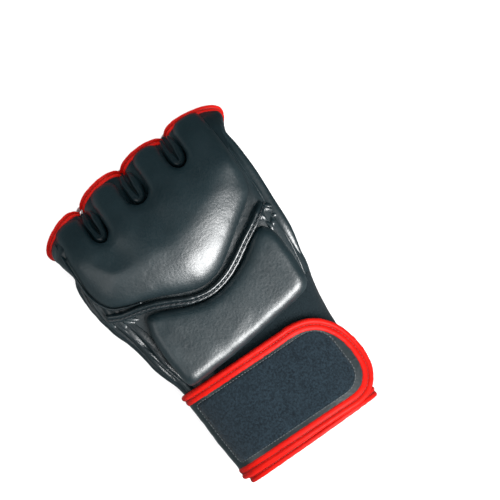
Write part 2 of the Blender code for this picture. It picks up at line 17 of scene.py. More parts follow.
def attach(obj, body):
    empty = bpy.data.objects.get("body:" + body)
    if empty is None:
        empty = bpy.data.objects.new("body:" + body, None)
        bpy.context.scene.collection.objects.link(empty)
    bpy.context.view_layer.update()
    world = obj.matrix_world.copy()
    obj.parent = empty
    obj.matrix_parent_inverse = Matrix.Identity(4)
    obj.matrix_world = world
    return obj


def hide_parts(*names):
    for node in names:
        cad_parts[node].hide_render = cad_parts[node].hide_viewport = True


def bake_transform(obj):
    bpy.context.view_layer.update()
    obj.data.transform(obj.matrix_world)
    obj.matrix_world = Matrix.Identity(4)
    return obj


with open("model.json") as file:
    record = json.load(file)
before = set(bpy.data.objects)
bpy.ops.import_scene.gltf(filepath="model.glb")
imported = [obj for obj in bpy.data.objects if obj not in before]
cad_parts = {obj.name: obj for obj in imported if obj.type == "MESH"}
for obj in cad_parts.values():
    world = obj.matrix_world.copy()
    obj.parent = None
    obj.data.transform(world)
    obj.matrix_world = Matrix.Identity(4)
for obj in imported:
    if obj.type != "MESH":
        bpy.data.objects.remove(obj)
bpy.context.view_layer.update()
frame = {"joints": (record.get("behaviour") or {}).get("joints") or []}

MM = 0.001
HINGES = {joint["name"]: Vector(joint["pos_m"]) for joint in frame["joints"]}
KNUCKLE_HINGE = np.array((0.0, 190.0, 29.0))
SHIFT = np.array(HINGES["finger_curl"] - Vector(KNUCKLE_HINGE) * MM)

ROUNDNESS = 2.4  # power of the superellipses that the hand's sections are
SLEEVE_ROUNDNESS = 2.3
KNUCKLE_SLANT = 0.119  # how far the knuckle line runs forward for each step towards the thumb
GAP = 0.35  # between the cuff and the strap
LEATHER = 1.7  # thickness of the shell
PAD_LEATHER = 1.2
RIM_CLAMP = 0.97  # how far out over the hand's back a pad or the welt follows its height

# The hand's cross-sections: y, little finger edge, thumb edge, height of the back, side seam, palm
STATIONS = np.array(
    [
        (0, -41.5, 54.0, 41.0, 22.0, 3.4),
        (12, -42.6, 56.5, 41.4, 22.0, 3.3),
        (36, -44.6, 59.0, 42.0, 22.0, 3.3),
        (62, -46.0, 60.0, 43.0, 22.6, 3.4),
        (70, -46.6, 60.5, 43.6, 23.2, 5.0),
        (78, -47.2, 61.5, 44.6, 25.0, 12.0),
        (86, -48.8, 62.8, 45.6, 27.2, 19.0),
        (96, -51.5, 65.0, 47.0, 29.4, 21.8),
        (108, -54.0, 67.0, 49.0, 31.8, 22.8),
        (120, -57.0, 68.5, 51.0, 33.6, 23.4),
        (131, -61.0, 69.0, 52.2, 34.6, 23.8),
        (142, -63.8, 69.4, 53.0, 35.0, 24.0),
        (160, -64.4, 70.0, 52.5, 34.2, 23.4),
        (176, -64.8, 70.4, 48.8, 31.6, 20.4),
        (186, -65.4, 71.0, 44.6, 29.4, 17.2),
        (194, -66.0, 71.5, 40.6, 27.2, 13.6),
        (222, -66.0, 71.5, 24.0, 15.0, 6.0),
    ]
)

# Finger sleeves: root x, mouth x, mouth y, mouth half-width, outward turn in degrees
FINGERS = {
    "little": (-50.2, -53.6, 198.6, 16.2, -26.0),
    "ring": (-17.5, -18.4, 208.0, 16.8, -10.0),
    "middle": (16.5, 16.2, 211.2, 16.6, -3.0),
    "index": (53.4, 55.0, 212.2, 19.4, 9.0),
}
# Padded lobes over the fingers: left side, right side, tip; and the bottoms of the slots between them
LOBES = ((-61.5, -39.6, 207.4), (-28.4, -7.8, 214.8), (7.8, 28.2, 219.6), (40.3, 62.8, 221.8))
SLOT_BOTTOMS = (182.4, 189.6, 194.6)
# The slots: middle x, nearer of the two tips beside it, bottom
SLOTS = [
    ((left + right) / 2, min(tip, next_tip), bottom)
    for (_, right, tip), (left, _, next_tip), bottom in zip(LOBES, LOBES[1:], SLOT_BOTTOMS)
]
# Crown of the knuckle pad along the hand
PAD_CROWN = np.array(
    [(100, 60), (118, 64.2), (128, 67.0), (140, 68.9), (150, 69.4), (160, 69.2), (170, 67.4), (178, 64.6),
     (186, 60.4), (193, 55.2), (200, 48.6), (206, 41.8), (211, 35.6), (216, 29.6), (222, 22.0), (230, 14.0)]
)
WRIST_OUTLINE = (
    (-39, 127.4), (-30, 126.2), (-20, 122.0), (-10, 117.8), (0, 115.6), (10, 115.9), (20, 118.2), (30, 122.4),
    (38, 127.2), (46, 132.6), (53, 134.4), (58, 131.6), (60.8, 124.4), (61.6, 112), (61.4, 100), (60.4, 91),
    (56.5, 85.2), (49, 82.8), (40, 81.2), (25, 79.2), (10, 77.2), (-10, 75.0), (-28, 73.8), (-38, 73.6),
    (-41.6, 76.5), (-43, 86), (-44, 100), (-43.8, 113), (-42, 121.5),
)
WELT = (
    (-60, 140.5), (-52, 136.6), (-40, 134.0), (-30, 130.9), (-20, 126.4), (-10, 121.4), (0, 118.7),
    (9, 118.7), (20, 121.6), (30, 126.6), (40, 132.6), (50, 138.2), (58, 143.2), (63, 147),
)
WINDOW = (
    (-38, 112), (-36, 128), (-30, 145), (-18, 157), (-2, 164), (16, 167), (32, 165), (44, 158), (50.5, 148),
    (50.5, 138), (44, 129), (34, 121), (22, 113), (12, 104), (4, 95), (-6, 89), (-18, 87), (-29, 90.5),
    (-36, 99),
)
FLAP_END = (
    (20, 68.4), (33, 68.6), (42, 67.0), (49, 63.4), (54.4, 57.6), (58.2, 50), (60.2, 41), (60.4, 32),
    (58.8, 23), (55.0, 16.0), (49.4, 11.0), (42, 8.6), (33, 8.4), (20, 8.6),
)
THUMB_SECTIONS = (  # middle x, y, z, half-width, half-height
    (47.0, 76.0, 11.4, 13.0, 6.2),
    (46.6, 84.0, 9.6, 14.8, 7.0),
    (45.6, 94.0, 8.8, 16.6, 7.9),
    (43.2, 108.0, 9.0, 17.8, 8.8),
    (40.2, 127.0, 9.4, 18.6, 9.4),
    (36.8, 146.0, 9.9, 19.4, 9.8),
)
THUMB_YAW = 10.0
THUMB_FLOOR = -1.15  # the lowest height of the thumb's leather


# --- Helpers ---


def smooth_line(points, steps, cyclic=False):
    """A Catmull-Rom curve through points, with steps pieces between each two."""
    p = np.array(points, float)
    n = len(p)
    index = np.arange(n if cyclic else n - 1)
    if cyclic:
        before, a, b, after = p[(index - 1) % n], p[index], p[(index + 1) % n], p[(index + 2) % n]
    else:
        before, a, b = p[np.maximum(index - 1, 0)], p[index], p[index + 1]
        after = p[np.minimum(index + 2, n - 1)]
    made = []
    for k in range(steps):
        t = k / steps
        made.append(
            0.5 * (2 * a + (b - before) * t + (2 * before - 5 * a + 4 * b - after) * t * t
                   + (3 * a - before - 3 * b + after) * t**3)
        )
    line = np.stack(made, 1).reshape(-1, p.shape[1])
    return line if cyclic else np.vstack([line, p[-1]])


def resampled(line, spacing, cyclic=False):
    """The same line with evenly spaced points."""
    line = np.asarray(line, float)
    if cyclic:
        line = np.vstack([line, line[0]])
    run = np.concatenate([[0], np.cumsum(np.linalg.norm(np.diff(line, axis=0), axis=1))])
    count = max(int(round(run[-1] / spacing)), 3)
    at = np.linspace(0, run[-1], count + 1)
    if cyclic:
        at = at[:-1]
    return np.stack([np.interp(at, run, line[:, k]) for k in range(line.shape[1])], 1)


def curve(points, spacing, steps=6, cyclic=False):
    """A smooth line through points, with evenly spaced points of its own."""
    return resampled(smooth_line(points, steps, cyclic), spacing, cyclic)


def step_up(x, low, high):
    """0 below low and 1 above high, with a smooth ramp between."""
    t = np.clip((x - low) / (high - low), 0, 1)
    return t * t * (3 - 2 * t)


def unit(v):
    """Vectors of length one."""
    return v / np.maximum(np.linalg.norm(v, axis=-1, keepdims=True), 1e-12)


def power(v, exponent):
    """A power that keeps the sign."""
    return np.sign(v) * np.abs(v) ** exponent


def rough(points, scale, seed=0.0, octaves=3):
    """Smooth noise at each point, about -1 to 1, in the points' own rows. Flat points lie at height 0."""
    points = np.asarray(points, float)
    shift = Vector((seed * 17.3, seed * -9.1, seed * 5.7))
    lumps = [
        noise.fractal(Vector((*p, 0)[:3]) / scale + shift, 1.0, 2.0, octaves)
        for p in points.reshape(-1, points.shape[-1])
    ]
    return np.array(lumps).reshape(points.shape[:-1])


FORM_Y = np.arange(0, 223, 1.0)


def make_form():
    """The hand's sections at each millimetre, on a smooth curve through the stations."""
    rows = STATIONS
    made = []
    for y in FORM_Y:
        i = int(np.clip(np.searchsorted(rows[:, 0], y) - 1, 0, len(rows) - 2))
        before, after = rows[max(i - 1, 0)], rows[min(i + 2, len(rows) - 1)]
        a, b = rows[i], rows[i + 1]
        span = b[0] - a[0]
        t = (y - a[0]) / span
        slope_a = (b[1:] - before[1:]) / (b[0] - before[0]) * span
        slope_b = (after[1:] - a[1:]) / (after[0] - a[0]) * span
        made.append(
            (2 * t**3 - 3 * t**2 + 1) * a[1:] + (t**3 - 2 * t**2 + t) * slope_a
            + (3 * t**2 - 2 * t**3) * b[1:] + (t**3 - t**2) * slope_b
        )
    return np.array(made)


FORM = make_form()


def hand(y):
    """Edges and heights of the hand at y: left, right, back, seam, palm."""
    y = np.clip(y, 0, FORM_Y[-1])
    return [np.interp(y, FORM_Y, FORM[:, k]) for k in range(5)]


def slanted(x, y):
    """The real y of a station: the knuckle line runs forward towards the thumb."""
    return y + KNUCKLE_SLANT * x * step_up(y, 140, 185)


def unslanted(x, y):
    """The station that a point belongs to."""
    return y - KNUCKLE_SLANT * x * step_up(y, 140, 185)


def shell(degrees, y, out=0.0, up=0.0, under=0.0):
    """Points round the hand's sections."""
    degrees, y = np.broadcast_arrays(np.asarray(degrees, float), np.asarray(y, float))
    left, right, back, seam, palm = hand(y)
    c, s = np.cos(np.radians(degrees)), np.sin(np.radians(degrees))
    half_w = (right - left) / 2 + out
    half_h = np.where(s > 0, back - seam + up, seam - palm + under)
    x = (left + right) / 2 + half_w * power(c, 2 / ROUNDNESS)
    z = seam + half_h * power(s, 2 / ROUNDNESS)
    return np.stack([x, slanted(x, y), z], -1)


def height(x, y, side=1, clamp=0.95):
    """Height of the hand's back, or with side -1 its palm, over points."""
    left, right, back, seam, palm = hand(unslanted(x, y))
    u = np.minimum(np.abs(x - (left + right) / 2) / ((right - left) / 2), clamp)
    half_h = back - seam if side > 0 else palm - seam
    return seam + half_h * (1 - u**ROUNDNESS) ** (1 / ROUNDNESS)


def in_frame(point):
    """A glove point in the frame's metres."""
    return tuple(np.asarray(point, float) * MM + SHIFT)


def linked(name, data):
    """A new object in the scene."""
    obj = bpy.data.objects.new(name, data)
    bpy.context.scene.collection.objects.link(obj)
    return obj


def new_mesh(name, points, faces, materials):
    """A smooth mesh object from points in glove coordinates."""
    mesh = bpy.data.meshes.new(name)
    mesh.from_pydata((np.asarray(points, float) * MM + SHIFT).tolist(), [], [tuple(f) for f in faces])
    for material in materials if isinstance(materials, (list, tuple)) else [materials]:
        mesh.materials.append(material)
    mesh.update()
    mesh.shade_smooth()
    return linked(name, mesh)


def net(rows, ring=False):
    """Points and quads of a net through equal rows of points. A ring's rows close on themselves."""
    rows = np.asarray(rows, float)
    m, n = rows.shape[:2]
    count = n if ring else n - 1
    i, k = np.meshgrid(np.arange(m - 1), np.arange(count), indexing="ij")
    a, b = i * n + k, i * n + (k + 1) % n
    faces = np.stack([a, b, b + n, a + n], -1).reshape(-1, 4)
    return rows.reshape(-1, 3), faces


def net_normals(rows):
    """The normal at each point of a net."""
    return unit(np.cross(np.gradient(rows, axis=1), np.gradient(rows, axis=0)))


def apply_modifiers(obj):
    bpy.context.view_layer.update()
    graph = bpy.context.evaluated_depsgraph_get()
    mesh = bpy.data.meshes.new_from_object(obj.evaluated_get(graph), depsgraph=graph)
    old = obj.data
    obj.modifiers.clear()
    obj.data = mesh
    bpy.data.meshes.remove(old)


def thicken(obj, thickness, offset=-1.0):
    """Leather's thickness. A second material goes on the back and the cut edge."""
    solid = obj.modifiers.new("thickness", "SOLIDIFY")
    solid.thickness = thickness * MM
    solid.offset = offset
    solid.use_even_offset = False
    solid.material_offset = solid.material_offset_rim = len(obj.data.materials) - 1


def subdivide(obj):
    """One round of subdivision."""
    smooth = obj.modifiers.new("smooth", "SUBSURF")
    smooth.levels = smooth.render_levels = 1


def done(obj, where, nodes=()):
    apply_modifiers(obj)
    if isinstance(where, str):
        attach(obj, where)
    else:
        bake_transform(obj)
    if nodes:
        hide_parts(*nodes)


def panel(name, points, faces, materials, thickness, where, nodes=(), slot="black_leather", smooth=True):
    """A piece of leather or cloth, from its outer surface."""
    obj = new_mesh(name, points, faces, materials)
    thicken(obj, thickness)
    if smooth:
        subdivide(obj)
    done(obj, where, nodes)


# --- Flat patches with a rolled edge ---


def inside(points, outlines):
    """Whether points lie inside an odd number of closed outlines."""
    found = np.zeros(len(points), bool)
    for p in outlines:
        q = np.roll(p, -1, 0)
        for a, b in zip(p, q):
            crosses = (a[1] > points[:, 1]) != (b[1] > points[:, 1])
            with np.errstate(divide="ignore", invalid="ignore"):
                x = (b[0] - a[0]) * (points[:, 1] - a[1]) / (b[1] - a[1]) + a[0]
            found ^= crosses & (points[:, 0] < x)
    return found


def to_rim(points, outlines):
    """Each point's nearest place on the outlines: its distance, its foot, and the normal into the shape."""
    best = np.full(len(points), np.inf)
    foot = np.zeros((len(points), 2))
    normal = np.zeros((len(points), 2))
    for p in outlines:
        q = np.roll(p, -1, 0)
        along = unit(np.roll(p, -1, 0) - np.roll(p, 1, 0))
        n = np.stack([-along[:, 1], along[:, 0]], 1)
        test = p + 0.3 * n
        if np.mean(inside(test, outlines)) < 0.5:
            n = -n
        m = np.roll(n, -1, 0)
        for a, b, na, nb in zip(p, q, n, m):
            side = b - a
            t = np.clip(((points - a) @ side) / max(side @ side, 1e-12), 0, 1)
            f = a + t[:, None] * side
            d = np.linalg.norm(points - f, axis=1)
            nearer = d < best
            best[nearer] = d[nearer]
            foot[nearer] = f[nearer]
            normal[nearer] = unit(na + t[nearer, None] * (nb - na))
    return best, foot, normal


SQUARE = ((0, 0), (1, 0), (1, 1), (0, 1))


def patch(outlines, cell, rounds=24):
    """A net of quads that fills flat outlines, with its rim on them: points and faces."""
    everything = np.vstack(outlines)
    low, high = everything.min(0) - cell, everything.max(0) + cell
    nx, ny = np.ceil((high - low) / cell).astype(int)
    cx, cy = np.meshgrid(np.arange(nx), np.arange(ny), indexing="ij")
    centres = low + (np.stack([cx, cy], -1).reshape(-1, 2) + 0.5) * cell
    keep = inside(centres, outlines).reshape(nx, ny)
    index = -np.ones((nx + 1, ny + 1), int)
    cells = np.argwhere(keep)
    corners = np.unique(np.vstack([cells + c for c in SQUARE]), axis=0)
    index[corners[:, 0], corners[:, 1]] = np.arange(len(corners))
    points = low + corners * cell
    faces = np.stack([index[cells[:, 0] + i, cells[:, 1] + j] for i, j in SQUARE], 1)
    ends = np.sort(np.vstack([faces[:, [k, (k + 1) % 4]] for k in range(4)]), axis=1)
    edges, count = np.unique(ends, axis=0, return_counts=True)
    rim_edges = edges[count == 1]
    rim = np.zeros(len(points), bool)
    rim[rim_edges.ravel()] = True

    def averages(pairs):
        total = np.zeros((len(points), 2))
        weight = np.zeros(len(points))
        for a, b in (pairs.T, pairs.T[::-1]):
            np.add.at(total, a, points[b])
            np.add.at(weight, a, 1)
        return total / np.maximum(weight, 1)[:, None]

    for _ in range(rounds):
        around, beside = averages(edges), averages(rim_edges)
        points = np.where(rim[:, None], 0.5 * points + 0.5 * beside, around)
        points[rim] = to_rim(points[rim], outlines)[1]
    return points, faces


ROLL_TURN = 112  # how far a pad's edge rolls under, in degrees


def rolled(points, outline, roll, top):
    """Lays a patch on the surface top(x, y) and rolls its edge down and under, like the side of a cushion.

    roll gives the roll's radii across and down at points of the rim.
    """
    distance, foot, normal = to_rim(points, [outline])
    reach, drop = roll(foot)
    angle = np.radians(ROLL_TURN) * np.clip(1 - distance / reach, 0, 1)
    inset = reach * (1 - np.sin(angle))
    flat = np.where((distance < reach)[:, None], foot + normal * inset[:, None], points)
    z = top(flat[:, 0], flat[:, 1]) - drop * (1 - np.cos(angle))
    return np.column_stack([flat, z]), distance


# --- Rolled edges, cords and stitches ---


def rails(path, normals, cyclic, side):
    """The directions along a path, off the leather's edge and out of the leather."""
    if cyclic:
        along = unit(np.roll(path, -1, 0) - np.roll(path, 1, 0))
    else:
        along = unit(np.gradient(path, axis=0))
    off = side * unit(np.cross(along, normals))
    up = unit(np.cross(off, along)) * np.sign(np.sum(np.cross(off, along) * normals, axis=1))[:, None]
    return along, off, up


def sweep(path, normals, profile, cyclic=False, side=1.0, pucker=0.12, seed=1.0, size=1.0):
    """Points and faces of a profile swept along a path.

    The profile's first number runs off the leather's edge and its second out of it, along the normals. size
    scales it along the path.
    """
    path, normals = np.asarray(path, float), unit(np.asarray(normals, float))
    _, off, up = rails(path, normals, cyclic, side)
    swell = size * (1 + pucker * rough(path, 2.6, seed, 2) * 0.5)
    rows = np.stack([path + off * (a * swell)[:, None] + up * (b * swell)[:, None] for a, b in profile], 1)
    if cyclic:
        points, faces = net(np.concatenate([rows, rows[:1]]), ring=True)
        count = len(path) * len(profile)
        return points[:count], np.where(faces >= count, faces - count, faces)
    points, faces = net(rows, ring=True)
    count, n = len(points), len(profile)
    return points, [*faces.tolist(), list(range(n)), list(range(count - 1, count - n - 1, -1))]


def binding_profile(width, thickness):
    """A leather strip folded over an edge: a round roll, a stitched groove and a flat flange."""
    points = (
        (-0.52, -0.10), (-0.51, 0.16), (-0.42, 0.31), (-0.24, 0.37), (-0.10, 0.31), (-0.04, 0.19),
        (0.02, 0.31), (0.12, 0.46), (0.26, 0.50), (0.40, 0.38), (0.475, 0.10), (0.45, -0.24), (0.34, -0.44),
        (0.16, -0.49), (-0.10, -0.40), (-0.40, -0.34),
    )
    return smooth_line(np.array(points) * (width, thickness), 2, cyclic=True)


def binding(name, where, path, normals, width, thickness, cyclic=False, side=1.0, seed=1.0, nodes=None):
    """A red rolled edge along a path, with its stitches. It stands for the node of its name, or for nodes."""
    both = np.hstack([path, unit(normals) * 10])
    row = resampled(both, 1.5, cyclic)
    points, faces = sweep(row[:, :3], row[:, 3:], binding_profile(width, thickness), cyclic, side, seed=seed)
    row = resampled(both, 2.5, cyclic)
    along, off, up = rails(row[:, :3], unit(row[:, 3:]), cyclic, side)
    seam = row[:, :3] + off * -0.04 * width + up * 0.24 * thickness
    more_points, more_faces = pods(seam, along, up, 1.8, 0.30, 0.0)
    faces = [*map(list, faces), *([k + len(points) for k in face] for face in more_faces)]
    obj = new_mesh(name, np.vstack([points, more_points]), faces, [RED_LEATHER, RED_THREAD])
    for face in obj.data.polygons[len(faces) - len(more_faces) :]:
        face.material_index = 1
    fix_normals(obj)
    done(obj, where, nodes or [name])


def fix_normals(obj):
    soup = bmesh.new()
    soup.from_mesh(obj.data)
    bmesh.ops.recalc_face_normals(soup, faces=soup.faces)
    soup.to_mesh(obj.data)
    soup.free()


def cord(name, path, radius, material, sides=8, cyclic=False, size=1.0):
    """A round cord or thread along a path. size scales its thickness along the path."""
    path = np.asarray(path, float)
    helper = np.tile(np.array([0.13, 0.21, 0.97]), (len(path), 1))
    angles = np.linspace(0, 2 * math.pi, sides, endpoint=False)
    profile = np.stack([np.cos(angles), np.sin(angles)], 1) * radius
    points, faces = sweep(path, helper, profile, cyclic, pucker=0.0, size=size)
    obj = new_mesh(name, points, faces, material)
    fix_normals(obj)
    return obj


def fold(name, path, radius, material, where, **shape):
    """A fold or a piped edge of leather, as a smooth round cord."""
    obj = cord(name, path, radius, material, **shape)
    subdivide(obj)
    done(obj, where)


def tack(name, body, path, radius):
    """Turns of white thread that hold leather together."""
    done(cord(name, path, radius, WHITE_THREAD), body, [name])


def stitches(name, path, normals, material, length=2.4, pitch=3.2, radius=0.34, lift=0.1):
    """A row of short stitches along a path, as one mesh."""
    both = resampled(np.hstack([path, unit(normals) * 10]), pitch)
    at, up = both[:, :3], unit(both[:, 3:])
    points, faces = pods(at, unit(np.gradient(at, axis=0)), up, length, radius, lift)
    obj = new_mesh(name, points, faces, material)
    fix_normals(obj)
    return obj


POD_RINGS = ((-0.5, 0.25), (-0.38, 0.8), (0.0, 1.0), (0.38, 0.8), (0.5, 0.25))
POD_SIDES = 6


def pods(at, along, up, length, radius, lift):
    """Points and faces of short round stitches, one at each point."""
    across = unit(np.cross(along, up))
    angles = np.linspace(0, 2 * math.pi, POD_SIDES, endpoint=False)
    ends = (len(POD_RINGS) - 1) * POD_SIDES
    points, faces = [], []
    for p, a, n, c in zip(at, along, up, across):
        first = len(points)
        for share, size in POD_RINGS:
            for angle in angles:
                points.append(
                    p + a * share * length + n * (lift + radius * size * math.sin(angle))
                    + c * radius * size * math.cos(angle)
                )
        for low in range(first, first + ends, POD_SIDES):
            for k in range(POD_SIDES):
                j = (k + 1) % POD_SIDES
                faces.append((low + k, low + j, low + POD_SIDES + j, low + POD_SIDES + k))
        faces.append(tuple(first + k for k in range(POD_SIDES)))
        faces.append(tuple(first + ends + k for k in reversed(range(POD_SIDES))))
    return np.array(points), faces


# --- Materials ---


class Shader:
    """A material's or a world's nodes, with short calls for those that feed its shader."""

    def __init__(self, owner, out="Principled BSDF", place="Object"):
        owner.use_nodes = True
        self.owner = owner
        self.tree = owner.node_tree
        self.out = self.tree.nodes[out]
        self.place = self.node("ShaderNodeTexCoord").outputs[place]

    def node(self, kind, inputs=None, **settings):
        made = self.tree.nodes.new(kind)
        for key, value in settings.items():
            setattr(made, key, value)
        for key, value in (inputs or {}).items():
            self.feed(made.inputs[key], value)
        return made

    def feed(self, socket, value):
        if isinstance(value, bpy.types.NodeSocket):
            self.tree.links.new(value, socket)
        elif socket.type == "RGBA":
            socket.default_value = (*value, 1)
        else:
            socket.default_value = value

    def set(self, key, value):
        self.feed(self.out.inputs[key], value)

    def noise(self, scale, detail, roughness=0.55, distortion=0.0, kind="FBM"):
        inputs = {"Vector": self.place, "Scale": scale, "Detail": detail, "Roughness": roughness}
        inputs["Distortion"] = distortion
        return self.node("ShaderNodeTexNoise", inputs, noise_type=kind).outputs[0]

    def cells(self, scale, feature="F1"):
        inputs = {"Vector": self.place, "Scale": scale, "Randomness": 1.0}
        return self.node("ShaderNodeTexVoronoi", inputs, feature=feature).outputs["Distance"]

    def math(self, operation, a, b=0.0, c=0.0):
        return self.node("ShaderNodeMath", {0: a, 1: b, 2: c}, operation=operation).outputs[0]

    def blended(self, a, b, share):
        """a and b added in shares that make one."""
        return self.math("ADD", self.math("MULTIPLY", a, 1 - share), self.math("MULTIPLY", b, share))

    def span(self, value, low, high, to_low=0.0, to_high=1.0, kind="LINEAR"):
        inputs = {"Value": value, "From Min": low, "From Max": high, "To Min": to_low, "To Max": to_high}
        return self.node("ShaderNodeMapRange", inputs, interpolation_type=kind).outputs[0]

    def mix(self, share, a, b):
        return self.node("ShaderNodeMix", {0: share, 6: a, 7: b}, data_type="RGBA").outputs[2]

    def bump(self, height, strength, distance, normal=None):
        inputs = {"Height": height, "Strength": strength, "Distance": distance}
        if normal is not None:
            inputs["Normal"] = normal
        return self.node("ShaderNodeBump", inputs).outputs[0]


def leather(name, dark, light, roughness, grain=1.0, crease=1.0, shine=0.8):
    """Grained artificial leather: pebbled grain, soft wrinkles, and slightly uneven colour and gloss."""
    s = Shader(bpy.data.materials.new(name))
    cloudy = s.noise(38, 3.0)
    fine = s.noise(700, 3.0)
    pebbles = s.cells(620, "SMOOTH_F1")
    wrinkles = s.noise(150, 4.0, 0.6, 1.2, kind="RIDGED_MULTIFRACTAL")
    s.set("Base Color", s.mix(s.span(s.blended(cloudy, fine, 0.3), 0.35, 0.68), dark, light))
    gloss = s.math("ADD", s.math("MULTIPLY", cloudy, 0.6), s.math("MULTIPLY", pebbles, 0.5))
    s.set("Roughness", s.span(gloss, 0.2, 0.9, *roughness))
    s.set("Specular IOR Level", shine)
    normal = s.bump(wrinkles, 0.12 * crease, 0.0006)
    normal = s.bump(pebbles, 0.24 * grain, 0.0003, normal)
    s.set("Normal", s.bump(fine, 0.2 * grain, 0.0002, normal))
    return s.owner


def fabric(name, dark, light, weave=950.0, fuzz=0.6):
    """Matt brushed cloth: a fine looped pile with lint and no gloss."""
    s = Shader(bpy.data.materials.new(name))
    pile = s.noise(weave * 0.75, 5.0, 0.75)
    loops = s.cells(weave * 0.9)
    patches = s.noise(90, 3.0)
    lint = s.span(s.noise(420, 6.0, 0.8), 0.66, 0.74)
    colour = s.mix(s.span(s.blended(pile, patches, 0.1), 0.40, 0.60), dark, light)
    pale = [min(c * 2.2 + 0.02, 1) for c in light]
    s.set("Base Color", s.mix(s.math("MULTIPLY", lint, 0.25 * fuzz), colour, pale))
    s.set("Roughness", s.span(pile, 0.3, 0.7, 0.86, 0.98))
    s.set("Specular IOR Level", 0.1)
    s.set("Sheen Weight", 0.10 * fuzz)
    s.set("Sheen Roughness", 0.5)
    normal = s.bump(loops, 0.5, 0.0005)
    s.set("Normal", s.bump(pile, 0.5, 0.0004, normal))
    return s.owner


def thread(name, colour):
    """Twisted thread."""
    s = Shader(bpy.data.materials.new(name))
    twist = s.node("ShaderNodeTexWave", {"Vector": s.place, "Scale": 900.0, "Distortion": 2.0}).outputs["Fac"]
    s.set("Base Color", s.mix(twist, [c * 0.6 for c in colour], colour))
    s.set("Roughness", 0.62)
    s.set("Normal", s.bump(twist, 0.4, 0.0002))
    return s.owner


BLACK_LEATHER = leather("black_leather", (0.0015, 0.0052, 0.0068), (0.0031, 0.0086, 0.0108), (0.38, 0.49))
GLOSSY_LEATHER = leather(
    "glossy_black_leather", (0.0012, 0.0038, 0.005), (0.0026, 0.006, 0.0075), (0.28, 0.40), 0.8, 1.8, 0.66
)
RED_LEATHER = leather(
    "red_leather", (0.225, 0.0022, 0.0010), (0.29, 0.0042, 0.0020), (0.38, 0.52), 0.7, 1.4, 0.07
)
FABRIC = fabric("black_loop_fabric", (0.0004, 0.0024, 0.0042), (0.0068, 0.0130, 0.0180))
HOOK_FABRIC = fabric("black_hook_fabric", (0.0024, 0.005, 0.0065), (0.007, 0.011, 0.0135), 600.0, 0.2)
LINING = fabric("black_lining", (0.0018, 0.0045, 0.006), (0.005, 0.009, 0.011), 1300.0, 0.2)
GREY_THREAD = thread("grey_thread", (0.045, 0.055, 0.06))
BLACK_THREAD = thread("black_thread", (0.014, 0.017, 0.02))
RED_THREAD = thread("red_thread", (0.20, 0.004, 0.003))
WHITE_THREAD = thread("white_thread", (0.42, 0.34, 0.34))

# --- Zones round the joints; done() bakes a piece given one of these in place ---

CURL_DIRECTION = unit(np.array([-KNUCKLE_SLANT, 1.0, 0.0]))
FINGER_BLEND = (
    "hand", "fingers",
    in_frame(KNUCKLE_HINGE - 8.5 * CURL_DIRECTION),
    in_frame(KNUCKLE_HINGE + 8.0 * CURL_DIRECTION),
)
THUMB_BLEND = ("hand", "thumb", in_frame((47, 77, 10)), in_frame((46, 97, 10)))
STRAP_FOLD = np.array(HINGES["strap_peel"])
STRAP_BLEND = ("hand", "strap", tuple(STRAP_FOLD), tuple(STRAP_FOLD + np.array((4.8, 0, 6.4)) * MM))


# --- Pads ---

PAD_LOWER_LEFT = [(-60.6, 153), (-55, 144.2), (-46, 139.6), (-36, 136.6)]


def knuckle_outline():
    """The outline of the big pad with its four lobes, clockwise from the lower left."""
    line = [(-62.6, 163), (-62.4, 176)]
    for i, (left, right, tip) in enumerate(LOBES):
        middle, half = (left + right) / 2, (right - left) / 2
        for a in np.radians(np.linspace(180, 0, 9)):
            c, s = math.cos(a), math.sin(a)
            line.append((middle + half * power(c, 0.75), tip - 9 + 9 * abs(s) ** 0.8))
        if i < 3:
            bottom, after = SLOT_BOTTOMS[i], LOBES[i + 1][0]
            middle, half = (right + after) / 2, (after - right) / 2
            for a in np.radians(np.linspace(180, 360, 7)):
                line.append((middle + half * math.cos(a) * 0.98, bottom + 7.5 + 7.5 * math.sin(a)))
    line += [
        (64.4, 195), (64.8, 178), (64.4, 166), (61.6, 157.6), (55.4, 151.8), (47, 145.6), (38, 139.2),
        (30, 133.4), (22, 128.2), (14, 124.4), (5, 122.8), (-4, 124), (-14, 127.8), (-25, 132.8),
        *PAD_LOWER_LEFT[::-1],
    ]
    return curve(line, 0.8, cyclic=True)


CROWN = smooth_line(PAD_CROWN, 8)
PAD_MIDDLE_X, PAD_HALF_WIDTH = 0.8, 63


def pad_top(x, y):
    """The puffed top of the knuckle pad and its lobes, before its edge rolls down."""
    station = unslanted(x, y)
    sideways = np.abs(x - PAD_MIDDLE_X) / PAD_HALF_WIDTH
    share = np.where(x > PAD_MIDDLE_X, 7.0, 10.5) * step_up(station, 110, 150)
    z = np.interp(station, *CROWN.T) - share * sideways**2.8
    z -= 1.5 * sideways**2
    for middle, _, bottom in SLOTS:
        z -= 3.0 * step_up(y, bottom - 26, bottom + 2) * np.exp(-(((x - middle) / 8.5) ** 2))
    return z


def pad_fall(y):
    """How far the pad's rim lies below its puffed top behind the lobes."""
    return 8.4 * step_up(-y, -184, -160)


def knuckle_roll(foot):
    """The roll is tight round the lobes and broad along the pad's lower edge."""
    front = step_up(foot[:, 1], 166, 184)
    low = step_up(-foot[:, 1], -158, -142)
    return 4.6 - 0.9 * front + 1.2 * low, 6.6 - 0.6 * front + 0.6 * low


